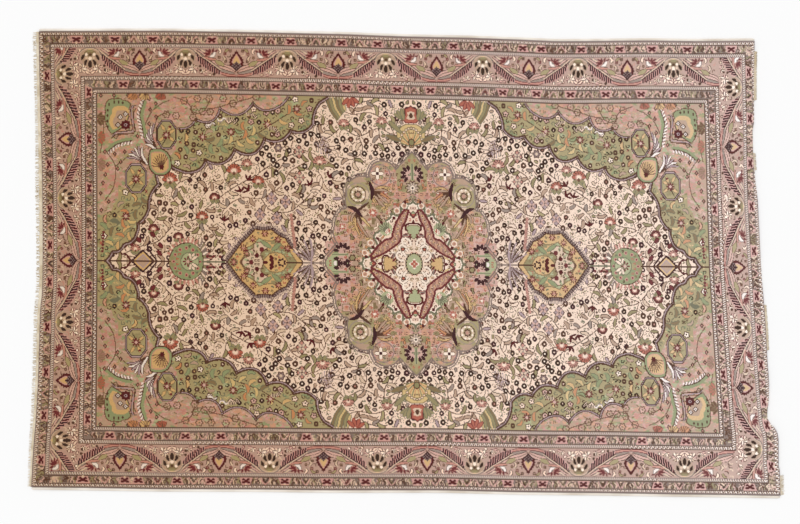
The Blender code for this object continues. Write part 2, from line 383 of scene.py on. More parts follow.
def drawFan(view, x):
    # palmette fan under its light dome, its petals towards the field
    dome = spline([(x - 3.3, 7.6), (x - 2.7, 6.3), (x - 1.5, 5.5), (x, 5.2), (x + 1.5, 5.5), (x + 2.7, 6.3),
                   (x + 3.3, 7.6)])
    region(view, np.vstack([dome, [(x + 1.8, 10.4), (x, 11.2), (x - 1.8, 10.4)]]), "fawn")
    line(view, dome, "sand")
    line(view, dome + [0, -0.25], "taupe")
    oval(view, x, 6.6, 1.7, 1.0, "olive")
    oval(view, x, 5.95, 1.0, 0.4, "khaki")
    oval(view, x, 5.5, 0.5, 0.16, "yellow")
    for dx, d, wide, tall, wool in ((-1.15, 7.0, 0.45, 0.42, "ivory"), (1.15, 7.0, 0.45, 0.42, "ivory"),
                                    (-1.05, 8.1, 0.4, 0.4, "sand"), (1.05, 8.1, 0.4, 0.4, "sand"),
                                    (0, 7.15, 0.42, 0.36, "umber"), (0, 8.3, 0.5, 0.58, "ivory")):
        oval(view, x + dx, d, wide, tall, wool)
    for way in (-1, 1):
        for petal in ([(1.7, 7.2), (2.1, 7.7), (2.5, 8.6)], [(1.0, 8.7), (1.35, 9.4), (1.5, 10.3)]):
            blade(view, spline([(x + way * u, d) for u, d in petal]), 0.62, "dark")
    blade(view, [(x, 8.9), (x, 9.6), (x, 10.2), (x, 11.0)], 0.95, "dark")


def drawHeart(view, x):
    # serrated palmette, its tip towards the rug's edge
    def mirrored(points):
        right = spline(points)
        return np.vstack([right, right[::-1] * [-1, 1]]) + [x, 0]

    outer = mirrored([(0, 5.6), (0.75, 6.7), (1.5, 7.7), (2.0, 8.7), (2.0, 9.5), (1.4, 10.3), (0, 10.6)])
    region(view, serrated(outer, 0.42, 0.32), "maroon")
    region(view, mirrored([(0, 6.5), (0.7, 7.5), (1.3, 8.6), (1.25, 9.4), (0, 10.0)]), "rosePale")
    region(view, mirrored([(0, 6.9), (0.6, 7.9), (1.0, 8.8), (0.8, 9.5), (0, 9.6)]), "gold")
    # plum bud with crossing lines under it
    region(view, [(x - 1.6, 10.1), (x, 8.8), (x + 1.6, 10.1), (x + 0.5, 11.1), (x, 11.7), (x - 0.5, 11.1)],
           "mauve")
    for way in (-1, 1):
        for shift in (0, 0.5, 1.0):
            line(view, [(x - way * (1.5 - shift), 10.2 - shift * 0.8),
                        (x + way * (0.1 + shift * 0.9), 11.5 - shift * 0.9)], "plum")
    line(view, [(x, 8.9), (x, 9.8)], "plum", 0.24)
    # little square flowers round it
    for way in (-1, 1):
        for u, d, wool in ((1.9, 5.7, "umber"), (3.5, 6.6, "wine"), (5.2, 7.7, "brown"),
                           (3.3, 8.9, "umber")):
            region(view, [(x + way * u - 0.42, d - 0.42), (x + way * u + 0.42, d - 0.42),
                          (x + way * u + 0.42, d + 0.42), (x + way * u - 0.42, d + 0.42)], wool)
            oval(view, x + way * u, d, 0.13, 0.13, "fawn")
            for ex, ey in ((0.45, 0), (-0.45, 0), (0, 0.45), (0, -0.45)):
                oval(view, x + way * u + ex, d + ey, 0.13, 0.13, "clay")


# the leaves from a fan to the next heart: how far along and how deep, width, wool and outline
halfUnit = [
    ([(4.6, 6.9), (6.6, 8.2), (8.8, 9.8), (11.8, 11.6)], 0.4, "grey", "umber"),
    ([(3.4, 5.4), (5.6, 6.8), (8.2, 8.8), (10.8, 10.6)], 0.35, "blush", "umber"),
    ([(4.4, 5.2), (6.4, 6.6), (8.4, 8.2)], 0.3, "sand", "mauve"),
    ([(5.6, 7.7), (7.4, 8.2), (9.2, 8.3)], 0.4, "rose", "brown"),
    ([(11.9, 10.3), (10.6, 9.6), (9.2, 8.8)], 1.0, "sage", "brown"),
    ([(15.1, 12.0), (13.6, 10.9), (11.8, 10.1)], 0.7, "blush", "umber"),
    ([(15.0, 12.3), (12.8, 11.4), (10.2, 10.5)], 0.7, "blush", "brown"),
    ([(14.8, 12.6), (12.0, 12.0), (9.4, 11.0)], 0.6, "grey", "umber"),
    ([(15.2, 13.1), (13.0, 13.0), (10.4, 12.4)], 0.35, "rose", "wine"),
    ([(10.1, 5.1), (10.6, 5.8), (10.3, 6.5)], 0.4, "cream", "umber"),
    ([(11.4, 7.4), (11.9, 8.2), (11.5, 9.0)], 0.3, "sand", "umber"),
    ([(13.0, 5.2), (12.3, 5.6), (11.9, 6.3)], 0.2, "sage", "brown"),
]
petalWools = ["cream", "ivory", "sand", "cream", "blush", "ivory"]
petalEdges = ["wine", "umber", "brown", "maroon"]


def drawHalfUnit(view, x, way, reach):
    # all that grows between a fan and the heart on one side of it
    stretch = reach / fanToHeart

    def at(points):
        return [(x + way * u * stretch, d) for u, d in points]

    for points, width, wool, edge in halfUnit:
        blade(view, spline(at(points)), width, wool, edge)
    # flame flower with its curled white petal
    (fx, fy), = at([(7.9, 6.5)])
    oval(view, fx - way * 0.6, fy + 0.1, 1.5, 0.9, "rose")
    for turn, far in ((-68, 1.5), (-28, 1.9), (-122, 1.5), (-152, 2.1), (180, 2.4), (160, 2.1)):
        spray(view, fx, fy, [turn if way > 0 else 180 - turn], 0.5, far, 0.3, "wine")
    blade(view, spline(at([(7.5, 7.5), (8.4, 7.1), (8.8, 6.2)])), 0.6, "white", "taupe")
    oval(view, fx + way * 0.1, fy + 0.1, 0.3, 0.3, "taupe")
    # striped leaf: maroon bars across it, between a light line and the ground
    top = np.array([(2.7, 6.1), (4.8, 7.9), (6.8, 9.2), (8.8, 10.6), (10.8, 12.0)])
    foot = np.array([(2.7, 7.0), (3.4, 8.6), (4.8, 10.3), (6.8, 11.7), (8.8, 12.6), (10.8, 12.9)])
    region(view, at(np.vstack([top, foot[::-1]])), "rosePale")
    for i in range(11):
        u = 3.0 + i * 0.71
        high, low = np.interp(u, top[:, 0], top[:, 1]), np.interp(u, foot[:, 0], foot[:, 1])
        lean = 0.12 * (low - high)
        region(view, at([(u - 0.22, high), (u + 0.22, high + 0.1), (u + 0.24 + lean, low),
                         (u - 0.2 + lean, low)]), "plum" if i % 3 else "maroon")
    line(view, at([(u, d - 0.1) for u, d in top]), "plum")
    line(view, at([(u, d - 0.42) for u, d in top]), "sand")
    # two clusters of curled petals under the fan
    for place, turns, near, far, wide in (
            ((2.4, 11.3), (-150, -110, -70, -30, 10, 60, 120, 170), 0.3, 1.3, 0.44),
            ((5.4, 12.6), (-160, -115, -70, -25, 15), 0.25, 1.1, 0.4)):
        (cx, cy), = at([place])
        for i, turn in enumerate(turns):
            spray(view, cx, cy, [turn if way > 0 else 180 - turn], near, far, wide, petalWools[i % 6],
                  petalEdges[i % 4])
    spray(view, x, 13.0, [-90 - way * 22, -90 - way * 55], 0.4, 1.6, 0.34, "cream", "wine")
    if way > 0:
        for u, d in ((3.0, 10.4), (3.2, 11.7), (7.2, 12.8)):
            (bx, by), = at([(u + 1.4, d)])
            oval(view, bx, by, 0.42, 0.42, "umber")


def drawMain(view, side, low, high):
    fans, hearts = stops[side]["fans"], stops[side]["hearts"]
    ends = [min(fans + hearts) - fanToHeart, max(fans + hearts) + fanToHeart]
    pairs = [(x, heart) for x in fans for heart in hearts + ends]
    pairs += [(x, heart) for x in ends for heart in hearts]
    for x, heart in pairs:
        # only neighbours, which stand 8 to 21 cm apart
        if 8 < abs(heart - x) < 21:
            drawHalfUnit(view, x, 1 if heart > x else -1, abs(heart - x))
    for x in fans:
        drawFan(view, x)
    for x in hearts:
        drawHeart(view, x)

    def petal(x, y):
        leaf(view, x - 0.3, y, 0.7, 0.3, darts.random() * fullTurn, darts.choice(petalWools),
             edge=darts.choice(petalEdges))

    # small petals and hooks where the ground is still bare
    fillGaps(view, ["pinkGround"], (low, 10.4, high, 13.3), 2, 9000, petal)

    def hook(x, y):
        bend = darts.choice((-0.4, 0.4))
        line(view, arcs([(x - 0.4, y + 0.3, bend), (x + 0.4, y - 0.3, 0)]),
             darts.choice(["umber", "brown", "rose", "sand"]))

    fillGaps(view, ["pinkGround"], (low, 5.2, high, 10.6), 2, 9000, hook)


# the plain stripes of the border, from the edge in: depth in knots and wool
borderStripes = [(0, "mauve"), (1, "taupe"), (5, "umber"), (6, "taupe"), (16, "umber"), (17, "taupe"),
                 (21, "mauve"), (22, "pinkGround"), (60, "umber"), (61, "taupe"), (65, "umber"),
                 (66, "taupe"), (77, "umber"), (78, "taupe"), (83, "umber"), (84, "cream")]
cordDepths = (0.75, 4.4, 14.2, 18.1)      # cm, the four narrow cords between the bands
mainStart, mainEnd = 22, 60               # knots, where the main band begins and ends


def layStripes(ties, stripes):
    for depth, wool in stripes:
        end = round(depth * endBorder / sideBorder)
        ties[depth:chartRows - depth, end:chartColumns - end] = woolNumber[wool]


def drawBorders(chart):
    rows, columns = np.mgrid[0:chartRows, 0:chartColumns]
    across = np.minimum(rows, chartRows - 1 - rows)
    along = np.minimum(columns, chartColumns - 1 - columns) * sideBorder / endBorder
    ties = chart["ties"]
    layStripes(ties, borderStripes)
    # the long sides' main border first, then the two ends over it, right into the corners
    for side in ("top", "bottom"):
        drawMain(sideView(chart, side), side, -99, 99)
    ends = newChart(-halfLength, -halfWidth, chartColumns, chartRows, "pinkGround")
    for side in ("left", "right"):
        drawMain(sideView(ends, side), side, -64, 64)
    inEnds = (along < mainEnd - 1) & (along >= mainStart) & (across >= mainStart)
    ties[inEnds] = ends["ties"][inEnds]
    main = ties.copy()
    layStripes(ties, [stripe for stripe in borderStripes if stripe[1] != "pinkGround"])
    # the guards, mitred at the corners
    for guard, y, inset in (("outer", 2.5, 0), ("inner", 16.1, 15)):
        for side in ("top", "bottom"):
            drawGuard(sideView(chart, side), stops[side][guard], y, inset - halfLength, halfLength - inset)
        longSides = ties.copy()
        for side in ("left", "right"):
            drawGuard(sideView(chart, side), stops[side][guard], y, inset - halfWidth, halfWidth - inset)
        ties[across < along] = longSides[across < along]
    inMain = (np.minimum(across, along) >= mainStart) & (np.minimum(across, along) < mainEnd)
    ties[inMain] = main[inMain]
    # white and dark dashes along the four narrow cords
    for depth in cordDepths:
        right, top = halfLength - depth * endBorder / sideBorder, halfWidth - depth
        corner = [(-right, -top), (right, -top), (right, top), (-right, top)]
        for a, b in zip(corner, corner[1:] + corner[:1]):
            band(chart, [a, b], -0.27, 0.27, ["white", "fawn", "umber"], 0.225, slant=0.45)


# the field: one quarter is charted, from the middle outwards, and turned over four ways
greenEdge = [(95.4, 0, 0), (93.4, 0, 0.1), (91.3, 2.6, -0.1), (90, 2.9, 0.15), (87.8, 4.8, -0.1),
             (86.2, 5.4, 0.12), (83.8, 8.4, 0.1), (83.5, 11.1, 0.1), (80.2, 15.6, -0.12),
             (77.2, 22.9, -0.3), (73.7, 29.5, 0.1), (70.3, 27.2, 0.1), (66, 26.9, 0.16), (62.8, 30.4, 0.27),
             (53.8, 33.6, 0.32), (44.8, 37.0, 0.23), (36.7, 39.5, 0.2), (30.1, 41.4, -0.1), (27.7, 48, 0),
             (25.2, 49.5, 0)]
pinkEdge = [(37.5, 49.5, -0.1), (42.4, 45.7, -0.2), (48, 48, -0.3), (58.3, 46.1, -0.33), (65.7, 42.6, -0.2),
            (71.1, 39.7, 0), (71.5, 33, 0), (77.5, 27, 0), (80.5, 22, 0), (87, 21.5, 0), (89.2, 22.7, 0),
            (89.2, 18.2, 0.1), (90.9, 15, 0.1), (94.3, 12.9, 0), (95.4, 12.9, 0)]


def mottle(chart, outline, patches, count, size):
    # soft patches of other wools within an outline, as the dye lots change
    low, high = np.min(outline, axis=0), np.max(outline, axis=0)
    inside, gx, gy, ties = region(chart, outline, None)
    before = chart["ties"].copy()
    for i in range(count):
        x = low[0] + darts.random() * (high[0] - low[0])
        y = low[1] + darts.random() * (high[1] - low[1])
        wool = darts.choice(patches)
        r = size * (0.5 + darts.random())
        rough = darts.random() * 6

        def ragged(a):
            return r * (1 + 0.35 * np.sin(3 * a + rough) + 0.2 * np.sin(7 * a + rough * 2))

        region(chart, polar(x, y, ragged, 0, 40, 0.6), wool)
    patched = ties.copy()
    chart["ties"][:] = before
    ties[inside] = patched[inside]


def insideTest(chart, outline):
    # tells whether a point lies within an outline
    inside, gx, gy, ties = region(chart, outline, None)

    def within(x, y):
        column, row = int((x - gx[0, 0]) / knot), int((y - gy[0, 0]) / knot)
        return 0 <= row < inside.shape[0] and 0 <= column < inside.shape[1] and inside[row, column]

    return within


def curl(chart, x, y, r, turn, wool):
    a = np.linspace(0, 4.6, 14)
    rr = r * (1 - a / 7)
    line(chart, np.column_stack([x + rr * np.cos(a + turn), y + rr * np.sin(a + turn)]), wool)


def ghostFlower(chart, x, y, turn):
    # pale petals drawn only by their dotted outline, with a leaf at one side
    for i in range(14):
        a = turn + i * math.pi / 7
        r = 1.5 if i % 2 == 0 else 1.15
        oval(chart, x + r * math.cos(a), y + r * math.sin(a), 0.14, 0.14, "brown" if i % 3 else "umber")
    for i in range(5):
        a = turn + i * math.pi / 2.5
        line(chart, [(x + 0.3 * math.cos(a), y + 0.3 * math.sin(a)),
                     (x + 0.9 * math.cos(a), y + 0.9 * math.sin(a))], "brown" if i % 2 else "khaki")
    leaf(chart, x + 0.6 * math.cos(turn), y + 0.6 * math.sin(turn), 2.4, 0.5, turn + 0.7,
         darts.choice(["khaki", "grey", "lilac", "fawn"]), edge="umber")


def starDiamond(chart, x, y, wool, heart):
    # a stepped diamond with a light four-petalled star in it
    corners = np.array([(x - 1.75, y), (x, y + 2.2), (x + 1.75, y), (x, y - 2.2)])
    sides = [np.linspace(a, b, 5)[:-1] for a, b in zip(corners, np.roll(corners, -1, 0))]
    region(chart, serrated(np.vstack(sides), 0.5, 0.22), "umber")
    region(chart, (corners - [x, y]) * 0.86 + [x, y], wool)
    spray(chart, x, y, (45, 135, 225, 315), 0.1, 1.3, 0.34, heart, "mauve")
    oval(chart, x, y, 0.22, 0.22, "umber")


def crown(chart, x, y, r, wool):
    # a palmette: red crown round a cream heart, green sepals under it
    spray(chart, x, y - 0.3 * r, (-152, -120, -60, -28), 0.2 * r, 1.1 * r, 0.3 * r, "khaki", "leaf")
    spray(chart, x, y - 0.1 * r, (8, 40, 66, 90, 114, 140, 172), 0.45 * r, 1.15 * r, 0.3 * r, wool, "umber")
    oval(chart, x, y, r * 0.5, r * 0.45, "cream", "rose")
    oval(chart, x, y - 0.4 * r, r * 0.22, r * 0.28, "brown")


fieldVines = [
    [(61, 3), (57, 9), (57.5, 15), (52, 19), (46, 19), (40, 22.5), (37, 27), (32, 30)],
    [(88, 2), (82, 4.5), (77, 6), (72, 11), (66, 12.5), (61, 17), (55, 21.5), (48, 25.5), (41, 30),
     (33, 33.5)],
    [(46, 19), (43, 15.5), (38, 15), (34, 17.5), (31, 20.5)],
    [(72, 11), (71, 16), (73, 20), (70, 24)],
    [(66, 12.5), (62, 10.5), (58, 5)],
    [(55, 21.5), (57, 26), (53, 30), (49, 29.5)],
    [(48, 25.5), (43, 25), (38, 31), (36, 36)],
    [(0, 39.5), (5, 38.5), (10, 40.5), (16, 38), (21, 40), (25, 37.5), (29, 36)],
    [(16, 38), (15, 34), (18, 31), (23, 31.5), (27, 28.5)],
    [(5, 38.5), (7, 42), (12, 45), (18, 44.5), (23, 46.5)],
    [(10, 40.5), (9, 36.5), (6, 36)],
    [(29, 28), (27, 24), (29.5, 20), (34, 17.5)],
    [(33, 33.5), (29, 32), (27, 28.5)],
    [(18, 44.5), (16, 47.5), (12, 49)],
    [(88, 2), (84, 1.2), (78, 1.8), (73, 3.5)],
    [(77, 6), (79, 10), (77, 14), (78.5, 18)],
]
ringPlaces = [(24.7, 7), (25.6, 5.4), (26.5, 3.6), (27.9, 1.9), (25, 48), (28.5, 46.8), (28.6, 41.5),
              (30.5, 38.3), (28.3, 37.9), (36.7, 37), (34.2, 36.3), (31.8, 35.4), (28.9, 35.3),
              (37.2, 33.3), (44.1, 34), (43.2, 31.7), (42.1, 30.4), (40.9, 28.8), (32.5, 28.7),
              (41.2, 26.6), (38.5, 30.8), (34.5, 32), (24.2, 30.8), (23, 29), (25.2, 33.5), (22.8, 36.4),
              (20, 33.7), (17.3, 32.8), (14.4, 32.8), (11, 33), (7.5, 34.2), (4.1, 34.8)]
ringWools = [("dark", "cream"), ("dark", "sand"), ("umber", "cream"), ("plum", "blush"), ("plum", "cream"),
             ("umber", "rose"), ("dark", "sand")]
leafWools = ["sand", "khaki", "cream", "sage", "sand", "fawn", "grey", "khaki", "sand", "fawn"]
leafEdges = ["umber", "brown", "umber", "dark"]


def drawFieldGround(field):
    for i, path in enumerate(fieldVines):
        curve = spline(path)
        line(field, curve, "umber" if i % 3 else "brown")
        for j in range(5, len(curve) - 2, 6):
            (x, y), (x2, y2) = curve[j], curve[j + 1]
            turn = math.atan2(y2 - y, x2 - x) + (0.9 if (j // 5) % 2 else -0.9)
            leaf(field, x, y, 2.1 + darts.random(), 0.6, turn, darts.choice(leafWools),
                 edge=darts.choice(leafEdges), bend=0.15)
    for x, y in ringPlaces:
        ringFlower(field, x, y, 0.8)


def fillField(field):
    # every gap gets a ghost flower, a ring, a leaf, a tulip or a hook, the large ones first
    box = (0, 0, fieldLength, fieldWidth)

    def ghost(x, y):
        ghostFlower(field, x, y, darts.random() * fullTurn)

    def ring(x, y):
        wool, heart = darts.choice(ringWools)
        ringFlower(field, x, y, 0.7 + darts.random() * 0.15, wool, heart)
        line(field, [(x, y - 0.7), (x + darts.choice((-0.5, 0.5)), y - 1.5)], "umber")

    def stalkedLeaf(x, y):
        turn = darts.random() * fullTurn
        c, s = math.cos(turn), math.sin(turn)
        leaf(field, x - 1.3 * c, y - 1.3 * s, 2.6, 0.62, turn, darts.choice(leafWools),
             edge=darts.choice(leafEdges), bend=0.2)
        line(field, [(x - c, y - s), (x - 1.5 * c + 0.6 * s, y - 1.5 * s - 0.6 * c)], "umber")

    def tulip(x, y):
        spray(field, x, y, (35, 90, 145), 0.1, 1.4, 0.3,
              darts.choice(["wine", "maroon", "maroon", "coral"]))
        line(field, [(x, y), (x + 0.3, y - 1.0)], "umber")

    def smallLeaf(x, y):
        turn = darts.random() * fullTurn
        leaf(field, x - 0.5 * math.cos(turn), y - 0.5 * math.sin(turn), 1.2, 0.4, turn,
             darts.choice(leafWools), edge=darts.choice(leafEdges))

    def hook(x, y):
        curl(field, x, y, 0.42, darts.random() * fullTurn,
             darts.choice(["umber", "brown", "olive", "leaf", "brown"]))

    def fleck(x, y):
        line(field, [(x - 0.2, y), (x + 0.2, y + darts.choice((-0.3, 0.3)))],
             darts.choice(["brown", "olive", "fawn", "umber", "clay", "leaf"]))

    for i in range(5):
        fillGaps(field, ["cream"], box, 7, 420, ghost)
        fillGaps(field, ["cream"], box, 4, 3800, ring)
        fillGaps(field, ["cream"], box, 4, 1500, stalkedLeaf)
        fillGaps(field, ["cream"], box, 5, 500, tulip)
    fillGaps(field, ["cream"], box, 4, 12000, ring)
    fillGaps(field, ["cream"], box, 3, 7000, stalkedLeaf)
    fillGaps(field, ["cream"], box, 3, 12000, smallLeaf)
    fillGaps(field, ["cream"], box, 2, 16000, hook)
    fillGaps(field, ["cream"], box, 1, 6000, fleck)


def drawFieldFigures(field):
    # the larger single figures: palmettes, star diamonds, tulips and feathery sprays
    for x, y, r, wool in ((54, 27, 1.9, "coral"), (50.1, 29, 1.4, "rose"), (46.7, 23.9, 1.6, "coral"),
                          (63.8, 13.2, 1.6, "coral"), (73.4, 24.1, 2.0, "coral"), (28, 30, 1.7, "rose"),
                          (87, 7.5, 1.4, "coral"), (60, 19, 1.3, "wine"), (78.5, 9.5, 1.4, "wine"),
                          (84, 3.6, 1.3, "rose"), (71.0, 7.2, 1.3, "wine"), (9, 42.5, 1.4, "rose"),
                          (20.5, 41.5, 1.4, "rose")):
        crown(field, x, y, r, wool)
    for x, y, wool, heart in ((34.2, 32.9, "rose", "sand"), (34.2, 25.3, "rose", "sand"),
                              (42.7, 19, "lilac", "blush"), (38.5, 18, "lilac", "blush"),
                              (46.3, 14.1, "lilac", "blush"), (41.2, 13.2, "lilac", "blush")):
        starDiamond(field, x, y, wool, heart)
    for x, y, turn in ((49.9, 24.2, 120), (52, 20.7, 70), (49.5, 21.2, 35), (25.5, 25.6, 140), (31, 23, 60),
                       (57, 12, 90)):
        spray(field, x, y, (turn - 50, turn, turn + 50), 0.1, 1.9, 0.4, "maroon")
    flower(field, 40.5, 34, 1.3, 6, "mauve", "umber", "sand", 0.3)
    for x, y, turn, reach in ((29.5, 35.5, -2.5, 6.5), (27.5, 37.8, -2.0, 5.0)):
        # feathery spray of thin strokes
        c, s = math.cos(turn), math.sin(turn)
        line(field, [(x, y), (x + reach * c, y + reach * s)], "umber")
        for i in range(14):
            t = reach * i / 14
            side = 0.8 if i % 2 else -0.8
            a = turn + side
            line(field, [(x + t * c, y + t * s), (x + t * c + (2.0 - t * 0.2) * math.cos(a),
                                                  y + t * s + (2.0 - t * 0.2) * math.sin(a))],
                 ("mauve", "umber", "lilac")[i % 3])
    # plume at the top of the field
    for i in range(6):
        blade(field, spline([(25.6 - i * 0.95, 49.3), (24.4 - i * 0.8, 46 + i * 0.2),
                             (22.4 - i * 0.5, 42.6 + i * 0.6)]), 0.6, ("olive", "khaki", "yellow")[i % 3],
              "leaf")
    spray(field, 18.5, 49.5, (-150, -115, -80, -45), 0.5, 3.0, 0.8, "coral", "wine")


goldWools = ["gold", "yellow", "orange", "fawn", "jade", "salmon"]


def drawGreenBand(field):
    outline = np.vstack([arcs(greenEdge), arcs(pinkEdge)])
    region(field, outline, "sage")
    mottle(field, outline, ["khaki", "moss", "sage", "jade", "sage", "mint"], 700, 0.75)
    main = spline([(63.4, 36.9), (60, 34.4), (57, 34.6), (52, 36.3), (49.5, 37.2), (45.5, 39), (38.8, 43.3),
                   (34.7, 45.7)])
    line(field, main, "umber", 0.24)
    second = spline([(86.8, 13.2), (85.5, 9.5), (88, 6.5), (91.5, 4)])
    line(field, second, "leaf", 0.2)
    third = spline([(82, 20), (82.5, 16), (86.8, 13.2), (89.5, 10.5), (93.5, 9)])
    line(field, third, "leaf", 0.2)
    for curve in (main, second, third):
        for i in range(3, len(curve) - 2, 5):
            (x, y), (x2, y2) = curve[i], curve[i + 1]
            turn = math.atan2(y2 - y, x2 - x) + (1.0 if (i // 5) % 2 else -1.0)
            wool = darts.choice(["gold", "orange", "olive", "yellow", "leaf", "jade"])
            leaf(field, x, y, 2.6, 0.7, turn, wool, edge="leaf", bend=0.2)
    for x, y in ((63.4, 36.9), (54.8, 38.5), (43.7, 41), (34.7, 45.7), (86.8, 13.2)):
        rosette(field, x, y, 1.35, "wine", "blush")
    within = insideTest(field, outline)

    def inBand(draw):
        def drawn(x, y):
            if within(x, y):
                draw(x, y)
        return drawn

    @inBand
    def ring(x, y):
        ringFlower(field, x, y, 0.7, darts.choice(["dark", "umber"]),
                   darts.choice(["gold", "sage", "cream"]))

    @inBand
    def paleFlower(x, y):
        flower(field, x, y, 1.0, 5, darts.choice(["cream", "ivory", "blush"]), "umber",
               turn=darts.random() * 6, width=0.05)
        oval(field, x, y - 0.1, 0.26, 0.26, "dark")

    @inBand
    def goldLeaf(x, y):
        turn = darts.random() * fullTurn
        leaf(field, x - math.cos(turn), y - math.sin(turn), 2.2, 0.5, turn, darts.choice(goldWools),
             edge=darts.choice(["umber", "leaf", "olive"]), bend=0.25)

    @inBand
    def cross(x, y):
        for turn in (0.8, 2.35):
            dx, dy = 0.5 * math.cos(turn), 0.5 * math.sin(turn)
            line(field, [(x - dx, y - dy), (x + dx, y + dy)], darts.choice(["wine", "coral", "umber"]))

    @inBand
    def twig(x, y):
        curl(field, x, y, 0.7, darts.random() * fullTurn, darts.choice(["umber", "dark", "dark", "leaf"]))

    @inBand
    def fleck(x, y):
        line(field, [(x - 0.25, y), (x + 0.25, y + darts.choice((-0.35, 0.35)))],
             darts.choice(["umber", "dark", "umber", "yellow", "brown"]))

    greens = ["sage", "khaki", "moss", "mint"]
    box = (24, 0, fieldLength, fieldWidth)
    for i in range(5):
        fillGaps(field, greens, box, 4, 700, ring)
        fillGaps(field, greens, box, 4, 1300, paleFlower)
        fillGaps(field, greens, box, 4, 1500, goldLeaf)
        fillGaps(field, greens, box, 4, 600, cross)
    greens.append("jade")
    fillGaps(field, greens, box, 4, 12000, twig)
    fillGaps(field, greens, box, 3, 22000, twig)
    fillGaps(field, greens, box, 2, 12000, fleck)
    # cloud ribbons and feather bars
    for x, y in ((61, 40.6), (57.5, 42)):
        line(field, arcs([(x - 1.2, y, 0.4), (x, y - 0.3, -0.4), (x + 1.3, y + 0.4, 0)]), "grey", 0.5)
        line(field, arcs([(x - 1.2, y + 0.2, 0.4), (x, y - 0.1, -0.4), (x + 1.3, y + 0.6, 0)]), "white",
             0.2)
    for x, y in ((54.8, 41.6), (42, 39.2), (48.5, 43.2)):
        band(field, arcs([(x - 1.4, y - 0.6, 0.2), (x + 1.4, y + 0.6, 0)]), -0.4, 0.4, ["dark", "sand"],
             0.25)
    # double line along both edges
    for edge, side in ((arcs(greenEdge), 1), (arcs(pinkEdge)[:62], -1)):
        band(field, edge, 0.2 * side, 0.62 * side, ["lilac"])
        band(field, edge, 0.66 * side, 0.7 * side, ["umber"])
        band(field, edge, -0.14, 0.14, ["umber"])
    # bead chain near the tip
    for i in range(7):
        oval(field, 93.9 - 0.05 * i, 2.8 + i * 0.95, 0.4, 0.4, "wine")


